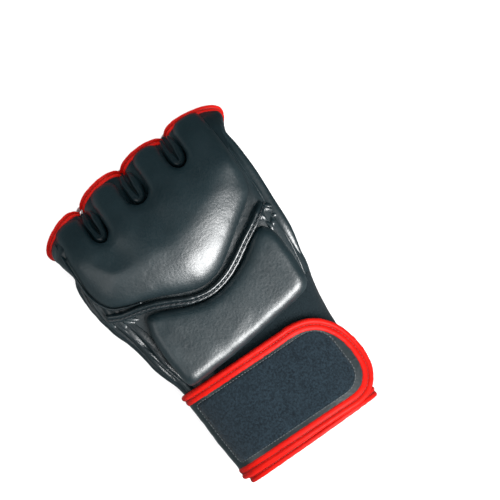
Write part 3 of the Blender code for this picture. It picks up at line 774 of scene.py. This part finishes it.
def knuckle_pad():
    outline = knuckle_outline()
    points, faces = patch([outline], 1.35)
    at, distance = rolled(points, outline, knuckle_roll, pad_top)
    at[:, 2] -= pad_fall(at[:, 1]) * np.clip(1 - distance / 36, 0, 1) ** 2
    soft = rough(at, 26.0, 3.0, 2) * 0.25 + rough(at * (1, 0.45, 1), 7.0, 5.0, 2) * 0.10
    at[:, 2] += soft * step_up(distance, 0, 9)
    beyond_shell = 30 * step_up(at[:, 1], 172, 190)
    at[:, 2] = np.maximum(at[:, 2], height(*at.T[:2], clamp=RIM_CLAMP) + 0.5 - beyond_shell)
    nodes = [f"{name}_pad_{layer}" for name in ("knuckle", *FINGERS) for layer in ("cover", "foam")]
    pad("knuckle_pad", at, faces, distance, 1.0, 6, FINGER_BLEND, nodes)

    side = [(-62.3, 199), (-62.6, 188), (-62.7, 176), (-62.6, 163), *PAD_LOWER_LEFT]
    line = curve(side, 1.2)
    path = np.column_stack([line, pad_top(*line.T) - (3.8 + pad_fall(line[:, 1]))])
    size = np.sin(np.linspace(0.15, math.pi - 0.15, len(path))) ** 0.4
    done(cord("knuckle_pad_side_piping", path, 0.95, GLOSSY_LEATHER, sides=10, size=size), FINGER_BLEND)


def pad(name, at, faces, distance, cap, rounds, where, nodes):
    """A pad's leather: swelled over its foam, evened out and given its thickness; the nodes it stands for are
    hidden.
    """
    obj = new_mesh(name, at, faces, BLACK_LEATHER)
    inflate(obj, distance, cap)
    relax(obj, rounds)
    thicken(obj, PAD_LEATHER)
    subdivide(obj)
    done(obj, where, nodes)


def relax(obj, rounds):
    """Evens out small kinks inside a sheet, and leaves its rim."""
    soup = bmesh.new()
    soup.from_mesh(obj.data)
    inner = [v for v in soup.verts if not v.is_boundary]
    axes = {f"use_axis_{axis}": True for axis in "xyz"}
    for _ in range(rounds):
        bmesh.ops.smooth_vert(soup, verts=inner, factor=0.5, **axes)
    soup.to_mesh(obj.data)
    soup.free()


CLOTH_FRAMES = 16
CLOTH = {
    "quality": 6, "mass": 0.3, "tension_stiffness": 25, "compression_stiffness": 25, "shear_stiffness": 12,
    "bending_stiffness": 6, "tension_damping": 15, "compression_damping": 15, "air_damping": 4,
    "use_pressure": True, "uniform_pressure_force": 2.0, "vertex_group_mass": "held", "shrink_min": -0.002,
}


def inflate(obj, distance, cap):
    """Lets a pad's leather swell over its foam. Its rim is held, and no point moves further than cap."""
    held = obj.vertex_groups.new(name="held")
    for index, d in enumerate(distance):
        held.add([index], float(1 - step_up(d, 0.5, 5.0)), "REPLACE")
    cloth = obj.modifiers.new("leather", "CLOTH")
    for key, value in CLOTH.items():
        setattr(cloth.settings, key, value)
    cloth.settings.effector_weights.gravity = 0
    cloth.collision_settings.use_collision = False
    cloth.point_cache.frame_start, cloth.point_cache.frame_end = 1, CLOTH_FRAMES
    before = np.array([v.co[:] for v in obj.data.vertices])
    scene = bpy.context.scene
    for frame_number in range(1, CLOTH_FRAMES + 1):
        scene.frame_set(frame_number)
    swollen = obj.evaluated_get(bpy.context.evaluated_depsgraph_get()).data
    move = np.array([v.co[:] for v in swollen.vertices]) - before
    obj.modifiers.clear()
    obj.vertex_groups.clear()
    length = np.linalg.norm(move, axis=1, keepdims=True)
    move *= np.minimum(1, cap * MM / np.maximum(length, 1e-9))
    obj.data.vertices.foreach_set("co", (before + move).ravel())
    scene.frame_set(1)


WRIST_PAD_MIDDLE = (9, 101)


def wrist_top(x, y):
    """The puffed top of the wrist pad: a flatter copy of the hand's back under it."""
    mx, my = WRIST_PAD_MIDDLE
    across, along = np.abs(x - mx) / 54, np.abs(y - my) / 30
    puff = 10.0 * (1 - 0.04 * np.minimum(across, 1) ** 3) * (1 - 0.04 * np.minimum(along, 1) ** 2)
    return height(mx + 0.15 * (x - mx), my + 0.15 * (y - my)) + puff


def wrist_roll(foot):
    """The roll is tight against the welt and broad along the strap."""
    low = step_up(-foot[:, 1], -98, -82)
    return 4.0 + 1.2 * low, 6.0 + 0.6 * low


def wrist_pad():
    outline = curve(WRIST_OUTLINE, 0.8, cyclic=True)
    points, faces = patch([outline], 1.4)
    at, distance = rolled(points, outline, wrist_roll, wrist_top)
    soft = rough(at, 24.0, 7.0, 2) * 0.25 + rough(at * (0.5, 1, 1), 6.0, 8.0, 2) * 0.10
    at[:, 2] += soft * step_up(distance, 0, 7)
    at[:, 2] = np.maximum(at[:, 2], height(*at.T[:2], clamp=RIM_CLAMP) + 0.5)
    pad("wrist_pad", at, faces, distance, 0.35, 8, "hand", ["wrist_pad_cover", "wrist_pad_foam"])


# --- Shell ---


def wrinkled_shell(degrees, ys, wave, seed, dip=0.0, **shape):
    """Points and faces of the hand's shell between angles, with soft wrinkles of height wave.

    dip is how far it sinks into the hand towards the knuckles.
    """
    at = shell(*np.meshgrid(degrees, ys), **shape)
    lump = rough(at * (1.0, 0.35, 1.0), 5.0, seed, 3)
    sink = dip * step_up(ys[:, None], 174, 191)
    return net(at + net_normals(at) * (wave * lump - sink)[..., None])


def shell_rows(end, step):
    """Rows of the shell from the hem on, closer together beyond the cuff."""
    return np.concatenate([np.arange(6, 60, 4.0), np.arange(60, end, step)])


def back_panel():
    made = wrinkled_shell(np.linspace(158, 22, 60), shell_rows(190, 2.0), 0.3, 2.0)
    nodes = ["back_panel", "back_lining"]
    panel("back_panel", *made, [BLACK_LEATHER, LINING], LEATHER, FINGER_BLEND, nodes)


def cuff_side():
    """The cloth between the back and the slit at the wrist, and the piped edge beside the wrist pad."""
    made = wrinkled_shell(np.linspace(120, -11, 66), np.arange(6, 96, 2.0), 0.2, 13.0, up=0.5)
    panel("cuff_side_cloth", *made, [LINING, LINING], 1.2, "hand", slot="black_fabric")
    edge = [(-60, 143), (-56.5, 132), (-52.6, 118), (-49.5, 104), (-46.6, 91), (-42.6, 76), (-40, 68)]
    line = smooth_line(edge, 10)
    z = height(*line.T) + 1.6 + 0.5 * rough(line, 7.0, 17.0, 2)
    fold("wrist_side_piping", np.column_stack([line, z]), 1.7, GLOSSY_LEATHER, "hand")


def side_panels():
    """The little finger's side is a gusset of long folds, and the thumb's side is plain with a piped edge."""
    a, y = np.meshgrid(np.linspace(202, 140, 50), shell_rows(192, 1.6))
    pleat = np.abs(np.sin(np.radians((a - 140 + 0.25 * (y - 110)) / 62 * 180 * 5.0))) ** 0.8
    waver = rough(np.stack([a * 0.2, y], -1), 16.0, 4.0, 2)
    at = shell(a, y)
    rise = (0.4 + 1.9 * pleat * step_up(a, 140, 150) * (1 + 0.5 * waver)) * step_up(y, 62, 90)
    rise = rise * (1 - step_up(y, 168, 184)) - 4.0 * step_up(y, 174, 191)
    made = net(at + net_normals(at) * rise[..., None])
    nodes = ["little_finger_side_panel"]
    panel("little_finger_side_gusset", *made, [GLOSSY_LEATHER, LINING], LEATHER, FINGER_BLEND, nodes)

    made = wrinkled_shell(np.linspace(24, -22, 24), np.arange(90, 192, 2.0), 0.7, 6.0, dip=4.0, out=0.3)
    panel("thumb_side_panel", *made, [BLACK_LEATHER, LINING], LEATHER, FINGER_BLEND, ["thumb_side_panel"])
    ys = np.linspace(90, 196, 76)
    dip = 2.6 * step_up(ys, 176, 196) + 4.0 * (1 - step_up(ys, 90, 108))
    size = (0.4 + 0.6 * step_up(ys, 96, 130)) * (1 + 0.06 * np.sin(ys / 6.3))
    size *= 1 - 0.3 * step_up(ys, 150, 190)
    for which, angle, radius, out in (("upper", 9.0, 4.4, -1.6), ("lower", -16.0, 1.2, 0.5)):
        line = shell(angle + 1.5 * np.sin(ys / 9.0), ys, out=out - dip, up=0.4, under=0.4)
        fold(f"thumb_side_{which}_piping", line, radius, BLACK_LEATHER, FINGER_BLEND, sides=14, size=size)


def palm_edge(side, y):
    """Points on the palm's edge towards the thumb, or with side -1 towards the little finger."""
    left, right, *_ = hand(y)
    x = (left + right) / 2 + side * (right - left) / 2 * 0.955
    return np.stack([x, slanted(x, y)], -1)


def palm_z(x, y):
    """Height of the palm's leather."""
    return height(x, y, side=-1, clamp=0.965)


def palm_panel():
    ys = np.linspace(6, 189, 60)
    rim = resampled(np.vstack([palm_edge(-1, ys), palm_edge(1, ys[::-1])]), 1.2, cyclic=True)
    window = curve(WINDOW, 1.0, cyclic=True)
    flat, faces = patch([rim, window], 1.7)
    at = np.column_stack([flat, palm_z(*flat.T)])
    at[:, 2] -= rough(at * (1, 0.4, 1), 8.0, 9.0, 3) * 0.8 * step_up(flat[:, 1], 66, 90)
    obj = new_mesh("palm_panel", at, faces[:, ::-1], [BLACK_LEATHER, LINING])
    bpy.ops.mesh.primitive_cylinder_add(vertices=48, radius=1.0, depth=1.0)
    hole = bpy.context.object
    hole.scale = (13.6 * MM, 6.8 * MM, 40 * MM)
    hole.rotation_euler = (math.radians(90), 0, 0)
    hole.location = in_frame((47, 74, 11.2))
    thicken(obj, LEATHER)
    cut = obj.modifiers.new("thumb_hole", "BOOLEAN")
    cut.operation = "DIFFERENCE"
    cut.object = hole
    done(obj, FINGER_BLEND, ["palm_panel"])
    bpy.data.objects.remove(hole)

    line = window[::-1]
    path = np.column_stack([line, palm_z(*line.T) + 0.4])
    down = np.tile([0, 0, -1.0], (len(path), 1))
    side = window_side(line)
    binding("palm_window_binding", "hand", path, down, 8.0, 4.2, cyclic=True, side=side, seed=4.0)


def window_side(line):
    """Which side of a closed line its middle lies on, for a normal that points down."""
    (x, y), (next_x, next_y) = line.T, np.roll(line, -1, 0).T
    return float(np.sign(np.sum(x * next_y - next_x * y)))


def cuff_edges():
    """The red bindings of the cuff's hem and of its slit."""
    degrees = np.linspace(-10, 338, 166)
    y = 5.6 + 0.022 * (shell(degrees, 4.0)[:, 0] - 40)
    path = shell(degrees, y, out=-0.6, up=-0.6, under=-0.6)
    normals = (path - (6.0, 0, 22.0)) * (1, 0, 2.2)
    binding("cuff_hem_binding", "hand", path, normals, 7.0, 4.2, seed=5.0)

    ys = np.array([8, 22, 38, 54, 66, 76.0])
    back = shell(-13.0, ys, out=-1.0, up=-0.4)
    crown = np.array([shell(-13, 84.5, out=-1.0), shell(-16, 88.0, out=-1.2), shell(-19, 84.5, out=-1.0)])
    palm = shell(-20, ys[::-1], out=-0.8, under=-0.4)
    path = smooth_line(np.vstack([back, crown, palm]), 8)
    normals = np.tile([1.0, 0, -0.2], (len(path), 1))
    binding("wrist_slit_binding", "hand", path, normals, 5.6, 3.6, side=-1.0, seed=6.0)


def welt():
    """The raised shiny seam between the two pads: a cord under leather, with a row of stitches beside it."""
    line = curve(WELT, 1.2)
    z = height(*line.T, clamp=RIM_CLAMP) - 3.0 * step_up(line[:, 0], 57, 63)
    path = np.column_stack([line, z + 2.6])
    flat = [
        (-3.4, -0.8), (-3.1, 0.1), (-2.0, 0.7), (-1.1, 0.6), (-0.5, 1.7), (0.5, 2.3), (1.5, 1.9), (2.1, 0.6),
        (2.7, -0.4), (2.5, -1.7), (-1.0, -2.2), (-3.2, -1.9),
    ]
    normals = np.tile([0, 0, 1.0], (len(path), 1))
    profile = smooth_line(flat, 2, cyclic=True)
    points, faces = sweep(path, normals, profile, side=-1.0, pucker=0.22, seed=8.0)
    obj = new_mesh("pad_welt", points, faces, GLOSSY_LEATHER)
    fix_normals(obj)
    subdivide(obj)
    done(obj, "hand", ["pad_welt"])
    across = unit(np.cross(np.gradient(path, axis=0), normals))
    row = path + across * 1.7 + (0, 0, 0.75)
    done(stitches("pad_welt_stitches", row, normals, BLACK_THREAD), "hand")


# --- Fingers ---


def section(middle, half_w, half_h, pitch, yaw, count, grow=0.0, forward=0.0):
    """A superellipse ring across a sleeve that points forward, pitched down and turned outwards."""
    angles = np.linspace(0, 2 * math.pi, count, endpoint=False)
    c, s = np.cos(angles), -np.sin(angles)
    flat = np.stack(
        [
            (half_w + grow) * power(c, 2 / SLEEVE_ROUNDNESS),
            np.full(count, forward),
            (half_h + grow) * power(s, 2 / SLEEVE_ROUNDNESS),
        ],
        1,
    )
    turn = Matrix.Rotation(math.radians(-yaw), 3, "Z") @ Matrix.Rotation(math.radians(-pitch), 3, "X")
    return np.asarray(middle) + flat @ np.array(turn).T


ROOT_HALF_W = 17.0
ROOT_Z, MOUTH_Z = 26.6, 10.3  # heights of the middles of a sleeve's root and mouth


def finger_ring(name, t, count, grow=0.0, forward=0.0):
    """A ring of a finger's sleeve, from its root at t 0 to its mouth at 1. Below 0 it runs into the hand."""
    root_x, mouth_x, mouth_y, half_w, yaw = FINGERS[name]
    root = np.array((root_x, slanted(root_x, 191.0) + 3.0, ROOT_Z))
    mouth = np.array((mouth_x, mouth_y, MOUTH_Z))
    if t < 0:
        root_back = np.array((root_x * 0.99, root[1] - 22, 36.0))
        middle = root + (root_back - root) * -t
        return section(middle, ROOT_HALF_W + 4.4 * t, 12.6 + 2.0 * t, 24 + 14 * t, 0, count, grow)
    middle = root + (mouth - root) * t + (0, 0, 1.6 * math.sin(math.pi * t))
    half_w = ROOT_HALF_W + (half_w - ROOT_HALF_W) * t
    return section(middle, half_w, 12.4 - 1.2 * t, 24 + 16 * t, yaw * t, count, grow, forward)


def lumpy(rows, stretch, scale, seed, high):
    """A sleeve's rings with soft lumps that push out from its middle line."""
    out = unit(rows - rows.mean(axis=1, keepdims=True))
    return rows + out * (high * rough(rows * stretch, scale, seed, 3))[..., None]


def sleeve(name, rows, thickness, where):
    """A leather tube through rings of points."""
    panel(name, *net(rows, ring=True), [GLOSSY_LEATHER, LINING], thickness, where, [name])


def mouth_binding(name, body, ring, inner, thickness, side, seed):
    binding(name, body, ring, ring - inner, 6.6, thickness, cyclic=True, side=side, seed=seed)


def finger_sleeves():
    steps = np.concatenate([np.linspace(-0.7, 0, 8)[:-1], np.linspace(0, 1, 12)])
    for order, name in enumerate(FINGERS):
        rows = np.array([finger_ring(name, t, 48) for t in steps])
        sleeve(f"{name}_sleeve", lumpy(rows, (1, 0.8, 1), 6.0, 11.0 + order, 0.55), 1.5, FINGER_BLEND)
        ring, inner = (finger_ring(name, 1.0, 72, grow, 0.6) for grow in (-0.9, -4.0))
        mouth_binding(f"{name}_binding", "fingers", ring, inner, 5.0, mouth_side(name), order)


def mouth_side(name):
    """Which way round a mouth's ring the binding's roll points forward."""
    ring = finger_ring(name, 1.0, 72)
    ahead = finger_ring(name, 1.0, 72, forward=1.0) - ring
    inner = finger_ring(name, 1.0, 72, grow=-1.0)
    along = np.roll(ring, -1, 0) - np.roll(ring, 1, 0)
    return float(np.sign(np.sum(np.cross(along, ring - inner) * ahead)))


def tacks():
    """White thread, wound a few times round each two neighbouring mouths."""
    names = list(FINGERS)
    turns = np.linspace(0, 2 * math.pi * 4, 120)[:, None]
    ahead = np.array([0, 0.77, -0.64])
    for first, second in zip(names, names[1:]):
        a, b = (finger_ring(name, 1.0, 72, grow=-0.9, forward=2.6) for name in (first, second))
        a, b = a[np.argmax(a[:, 0])], b[np.argmin(b[:, 0])]
        across = unit(b - a)
        wound = across * (3.9 * np.cos(turns)) + ahead * (2.9 * np.sin(turns))
        drift = unit(np.cross(across, ahead)) * ((turns / turns[-1] - 0.5) * 3.2)
        tack(f"{first}_{second}_tack", "fingers", (a + b) / 2 + (0, 1.0, 1.4) + wound + drift, 0.36)


def slot_folds():
    """The folded leather between two sleeves, which bends round the bottom of the slot between the lobes."""
    run = np.linspace(0, 1, 14)[:-1]
    bend = np.linspace(math.pi, 2 * math.pi, 11)
    side_x = 2.5 + 0.8 * np.sin(math.pi * run)
    across = np.concatenate([-side_x, 2.5 * np.cos(bend), side_x[::-1]])
    ends = np.clip(2.4 * np.sin(math.pi * np.linspace(0, 1, len(across))), 0, 1)
    for i, (middle, tip, bottom) in enumerate(SLOTS):
        front, turn_y = tip - 3.0, bottom + 5.5
        side_y = front + (turn_y - front) * run
        x = middle + across
        y = np.concatenate([side_y, turn_y + 3.4 * np.sin(bend), side_y[::-1]])
        path = np.column_stack([x, y, pad_top(x, y) - 8.4])
        size = (0.35 + 0.65 * ends) * (1 + 0.16 * np.sin(np.arange(len(path)) / 2.1 + i))
        fold(f"slot_{i + 1}_fold", path, 2.5, GLOSSY_LEATHER, FINGER_BLEND, sides=12, size=size)


def slot_webs():
    """The leather that joins two neighbouring sleeves under a slot, with a fold along its middle."""
    for i, (middle, tip, bottom) in enumerate(SLOTS):
        v, y = np.meshgrid(np.linspace(-1, 1, 17), np.linspace(bottom - 7, tip - 1.5, 24))
        x = middle + 8.5 * v
        at = np.stack([x, y, pad_top(x, y) - 14.5 - 2.4 * np.cos(v * math.pi) ** 2 - 3.0 * v**2], -1)
        at[..., 2] += 0.5 * rough(at, 5.0, 60.0 + i, 2)
        panel(f"slot_{i + 1}_web", *net(at), [GLOSSY_LEATHER, LINING], 1.2, FINGER_BLEND, smooth=False)


def crotch_folds():
    """Gathered folds on the palm's side, where two sleeves meet."""
    names = list(FINGERS)
    t = np.linspace(0, 1, 18)
    for i, (first, second) in enumerate(zip(names, names[1:])):
        a, b = FINGERS[first], FINGERS[second]
        root, mouth = (a[0] + b[0]) / 2, (a[1] + b[1]) / 2
        root_y = slanted(root, 183.0)
        y = root_y + (min(a[2], b[2]) - root_y - 4.5) * t
        z = palm_z(root, 186.0) - 0.6 - 8.5 * t - 1.8 * np.sin(math.pi * t)
        for k, shift in enumerate((-3.2, -0.4, 2.6)):
            x = root + shift * (1 - 0.35 * t) + (mouth - root) * t
            size = 0.35 + 0.65 * np.sin(math.pi * np.clip(0.12 + 0.8 * t, 0, 1)) + 0.1 * np.sin(9 * t + k)
            path = np.column_stack([x, y, z])
            fold(f"crotch_{i + 1}_fold_{k + 1}", path, 1.9, GLOSSY_LEATHER, FINGER_BLEND, size=size)


def gathers():
    """Bunched leather where the welt meets the sides, in short crossing folds."""
    bunches = (
        ((60.5, 143), (4.5, -9.0), 5, 2.2, 70),
        ((62.0, 134), (1.5, -8.0), 3, 2.0, 71),
        ((-58.0, 139), (3.0, -11.0), 5, 2.4, 72),
        ((-52.5, 132), (5.0, -9.0), 4, 2.2, 73),
    )
    t = np.linspace(0, 1, 14)
    for b, (corner, run, count, radius, seed) in enumerate(bunches):
        for k in range(count):
            spin = noise.noise(Vector((seed * 3.1, k * 1.7, 0.3))) * 1.3
            turn = np.array([[math.cos(spin), -math.sin(spin)], [math.sin(spin), math.cos(spin)]])
            start = np.array(corner) + (k / (count - 1) - 0.5) * np.array([7.0, 3.0])
            flat = start + np.outer(t - 0.35, turn @ np.array(run))
            flat += 0.8 * np.column_stack([np.sin(5 * t + k), np.cos(4 * t + 2 * k)])
            z = height(*flat.T, clamp=RIM_CLAMP) - 1.1 + 0.9 * np.sin(math.pi * t)
            path = np.column_stack([flat, z])
            size = 0.3 + 0.7 * np.sin(math.pi * t)
            fold(f"gather_{b + 1}_{k + 1}", path, radius, BLACK_LEATHER, "hand", size=size)


# --- Thumb ---


def thumb_ring(t, count, grow=0.0, forward=0.0):
    table = np.array(THUMB_SECTIONS)
    run = np.linspace(0, 1, len(table))
    x, y, z, half_w, half_h = (np.interp(t, run, table[:, k]) for k in range(5))
    return section((x, y, z), half_w, half_h, 0, -THUMB_YAW, count, grow, forward)


def thumb():
    rows = np.array([thumb_ring(t, 56) for t in np.linspace(0, 1, 34)])
    rows = lumpy(rows, (1, 0.5, 1), 8.0, 21.0, 0.7)
    rows[..., 2] = np.maximum(rows[..., 2], THUMB_FLOOR)
    sleeve("thumb_sleeve", rows, 1.6, THUMB_BLEND)
    ring, inner = (thumb_ring(1.0, 80, grow, 0.8) for grow in (-0.9, -3.0))
    mouth_binding("thumb_binding", "thumb", ring, inner, 4.8, mouth_side("middle"), 9.0)
    turns = np.linspace(0, 2 * math.pi * 4, 120)
    x = 36.2 + (turns / turns[-1] - 0.5) * 3
    path = np.stack([x, 149.0 + 2.6 * np.sin(turns), 9.9 + 9.4 * np.cos(turns)], 1)
    tack("thumb_mouth_tack", "thumb", path, 0.42)


# --- Strap ---

STRAP_S = np.arange(-150, 181, 1.0)
STRAP_YS = np.array([-4, 8.6, 22, 38.5, 55, 68.4, 78])
STRAP_MIDDLE = 3  # index of the row along the strap's middle


@cache
def strap_table():
    """Points of the strap's underside: rows of y, at each STRAP_S along the strap from its fold."""
    rows = []
    for y in STRAP_YS:
        inner = max(y, 0)
        band = shell(np.linspace(325, 180, 80), inner, out=GAP, under=GAP)
        flap = shell(np.linspace(180, 50, 80)[1:], inner, out=GAP, up=3.7)
        ahead = unit(flap[-1] - flap[-4])
        tip = flap[-1] + ahead * np.arange(1, 46)[:, None]
        tip[:, 2] -= 0.004 * np.arange(1, 46) ** 2
        line = np.vstack([band, flap, tip])
        line[:, 1] = y
        run = np.concatenate([[0], np.cumsum(np.linalg.norm(np.diff(line, axis=0), axis=1))])
        run -= run[79]
        rows.append(np.stack([np.interp(STRAP_S, run, line[:, k]) for k in range(3)], 1))
    return np.array(rows)


def strap_run(x):
    """The distance along the strap at which the middle of its top passes over x."""
    top = STRAP_S > 0
    return float(np.interp(x, strap_table()[STRAP_MIDDLE][top, 0], STRAP_S[top]))


def strap_at(flat, lift=0.0):
    """Points and outward normals at (distance, y) on the strap, lift above its underside."""
    table = strap_table()

    def place(s, y):
        j = np.clip(np.searchsorted(STRAP_YS, y) - 1, 0, len(STRAP_YS) - 2)
        v = ((y - STRAP_YS[j]) / (STRAP_YS[j + 1] - STRAP_YS[j]))[:, None]
        f = np.clip(s - STRAP_S[0], 0, len(STRAP_S) - 1.001)
        i = f.astype(int)
        u = (f - i)[:, None]
        low = table[j, i] * (1 - u) + table[j, i + 1] * u
        high = table[j + 1, i] * (1 - u) + table[j + 1, i + 1] * u
        return low * (1 - v) + high * v

    s, y = flat.T
    normal = unit(np.cross(place(s + 1.5, y) - place(s - 1.5, y), place(s, y + 1.0) - place(s, y - 1.0)))
    return place(s, y) + normal * np.reshape(lift, (-1, 1)), normal


def strap_outline():
    """The strap's outline, anticlockwise in (distance, y). Its fixed end is narrower than its loose end."""
    end = [(strap_run(x), y) for x, y in FLAP_END][::-1]
    fixed = [(-118, 13.4), (-60, 12.6), (-30, 10.6), (-10, 8.9), (10, 8.6)]
    back = [(10, 68.4), (-10, 67.2), (-30, 63.4), (-60, 59.6), (-118, 58.4)]
    return fixed + end + back


def fabric_patch(name, body, at, faces, thickness, material, smooth=False):
    """A patch of hook or loop fabric."""
    panel(name, at, faces, material, thickness, body, [name], "black_fabric", smooth)


def strap():
    outline = strap_outline()
    closing = resampled([outline[-1], outline[0]], 1.0)[1:-1]
    flat, faces = patch([np.vstack([curve(outline, 1.0, steps=8), closing])], 1.6, rounds=16)
    crease = rough(flat * (0.5, 1), 8.0, 31.0, 3)
    at, _ = strap_at(flat, 0.35 * crease * step_up(-flat[:, 0], -60, -20))
    obj = new_mesh("strap_leather", at, faces, [GLOSSY_LEATHER, HOOK_FABRIC])
    thicken(obj, 2.0, offset=1.0)
    done(obj, STRAP_BLEND, ["strap_flap", "strap_band"])
    at, normal = strap_at(curve(outline, 1.4, steps=8), 1.2)
    nodes = ["strap_flap_binding", "strap_band_upper_binding", "strap_band_lower_binding"]
    binding("strap_binding", STRAP_BLEND, at, normal, 8.0, 4.6, seed=12.0, nodes=nodes)

    outline = rounded_box(strap_run(-41.5), strap_run(51.8), 15.6, 62.8, 3, 15)
    flat, faces = patch([outline], 1.5, rounds=12)
    distance, _, _ = to_rim(flat, [outline])
    lift = 2.1 + 0.75 * np.minimum(distance / 1.6, 1) ** 0.5 + 0.1 * rough(flat, 1.6, 41.0, 2)
    at, _ = strap_at(flat, lift)
    fabric_patch("strap_face_patch", "strap", at, faces, 0.6, FABRIC, smooth=True)
    at, normal = strap_at(resampled(outline, 1.0), 2.35)
    obj = stitches("strap_patch_thread", at, normal, GREY_THREAD, length=1.5, pitch=2.3, radius=0.3, lift=0.0)
    done(obj, "strap", ())

    flat, faces = patch([rounded_box(strap_run(4), strap_run(41), 15, 62, 4)], 2.0, rounds=8)
    fabric_patch("strap_hook_patch", "strap", strap_at(flat, -0.4)[0], faces, 0.9, HOOK_FABRIC)

    flat, faces = patch([rounded_box(50, 125, 13, 64, 4)], 2.0, rounds=8)
    at = shell(*flat.T, out=GAP, up=GAP + 1.0)
    fabric_patch("cuff_loop_patch", "hand", at, faces[:, ::-1], 0.9, FABRIC)

    flat, faces = patch([rounded_box(-127, -119.5, 13.4, 58.4, 1.5)], 1.2, rounds=8)
    at, _ = strap_at(flat, 1.6 + 0.25 * rough(flat, 1.5, 43.0, 2))
    fabric_patch("strap_band_end_strip", "hand", at, faces, 1.4, HOOK_FABRIC)


def rounded_box(x0, x1, y0, y1, r, right_r=None):
    """A rectangle's outline with round corners, anticlockwise and evenly spaced."""
    q = right_r or r
    corners = (
        (x1 - q, y0 + q, -90, q), (x1 - q, y1 - q, 0, q), (x0 + r, y1 - r, 90, r), (x0 + r, y0 + r, 180, r),
    )
    line = [
        (cx + size * math.cos(math.radians(turn + d)), cy + size * math.sin(math.radians(turn + d)))
        for cx, cy, turn, size in corners
        for d in range(0, 91, 15)
    ]
    return resampled(np.array(line), 0.9, cyclic=True)


# --- Studio ---


def area_light(name, towards, distance, height_m, size, power, glossy=True):
    """A soft box that stands in a direction from the glove and faces it."""
    data = bpy.data.lights.new(name, "AREA")
    data.shape = "RECTANGLE"
    data.size, data.size_y = size
    data.energy = power
    light = linked(name, data)
    light.location = (towards[0] * distance, towards[1] * distance, height_m)
    light.rotation_euler = (-Vector(light.location)).to_track_quat("-Z", "Y").to_euler()
    light.visible_glossy = glossy


def sky(world):
    """A sky that is pale at the horizon, and dim overhead and in front of the fingers."""
    s = Shader(world, "Background", "Generated")
    upwards = s.node("ShaderNodeSeparateXYZ", {0: s.place}).outputs[2]
    inputs = {0: s.place, 1: (*IMAGE_UP, 0)}
    ahead = s.node("ShaderNodeVectorMath", inputs, operation="DOT_PRODUCT").outputs["Value"]
    by_height = s.span(upwards, 0.05, 0.55, 0.27, 0.034, "SMOOTHSTEP")
    by_side = s.span(ahead, -0.1, 0.6, 1.0, 0.25, "SMOOTHSTEP")
    s.set("Strength", s.math("MULTIPLY", by_height, by_side))
    s.set("Color", (0.75, 0.94, 1.0))


BACKDROP_RADIUS = 6.0
BACKDROP_HEIGHT = 0.6
FLOOR_Z = -0.0002


def studio():
    bpy.ops.mesh.primitive_plane_add(size=12.2, location=(0, 0, FLOOR_Z))
    floor = bpy.context.object
    floor.name = "floor"
    bpy.ops.mesh.primitive_cylinder_add(
        vertices=96, radius=BACKDROP_RADIUS, depth=BACKDROP_HEIGHT, end_fill_type="NOTHING",
        location=(0, 0, FLOOR_Z + BACKDROP_HEIGHT / 2),
    )
    backdrop = bpy.context.object
    backdrop.name = "backdrop"
    s = Shader(bpy.data.materials.new("studio_floor"))
    s.set("Base Color", (0.20, 0.20, 0.20))
    s.set("Roughness", 0.9)
    s.set("Specular IOR Level", 0.1)
    s.set("Emission Color", (1, 1, 1))
    s.set("Emission Strength", 0.78)
    for obj in (floor, backdrop):
        obj.data.materials.append(s.owner)
        obj.visible_glossy = False

    world = bpy.data.worlds.new("studio")
    bpy.context.scene.world = world
    sky(world)
    area_light("key_light", IMAGE_RIGHT - 0.65 * IMAGE_UP, 0.76, 0.80, (0.8, 0.7), 58.0)
    area_light("left_light", -IMAGE_RIGHT - 0.5 * IMAGE_UP, 0.95, 0.9, (1.2, 1.0), 5.5)
    area_light("top_fill", (0, 0), 0, 1.6, (1.6, 1.6), 28.0, glossy=False)
    area_light("front_fill", IMAGE_UP - 0.5 * IMAGE_RIGHT, 0.9, 0.45, (1.2, 0.8), 20.0, glossy=False)


VIEW_TURN = math.radians(-34.0)
IMAGE_RIGHT = np.array([math.cos(VIEW_TURN), math.sin(VIEW_TURN)])
IMAGE_UP = np.array([-math.sin(VIEW_TURN), math.cos(VIEW_TURN)])
LENS_MM, SENSOR_MM = 300.0, 36.0
FIELD_M, FIELD_HEIGHT_M = 0.320, 0.045


def camera():
    data = bpy.data.cameras.new("camera")
    data.lens = LENS_MM
    data.sensor_width = SENSOR_MM
    made = linked("camera", data)
    x, y, _ = in_frame((40, 125.8, 0))
    made.location = (x, y, FIELD_HEIGHT_M + FIELD_M * LENS_MM / SENSOR_MM)
    made.rotation_euler = (0, 0, VIEW_TURN)
    bpy.context.scene.camera = made


camera()
studio()
back_panel()
cuff_side()
side_panels()
palm_panel()
cuff_edges()
welt()
wrist_pad()
knuckle_pad()
slot_folds()
slot_webs()
finger_sleeves()
crotch_folds()
gathers()
tacks()
thumb()
strap()
bpy.context.scene.view_settings.view_transform = "Standard"
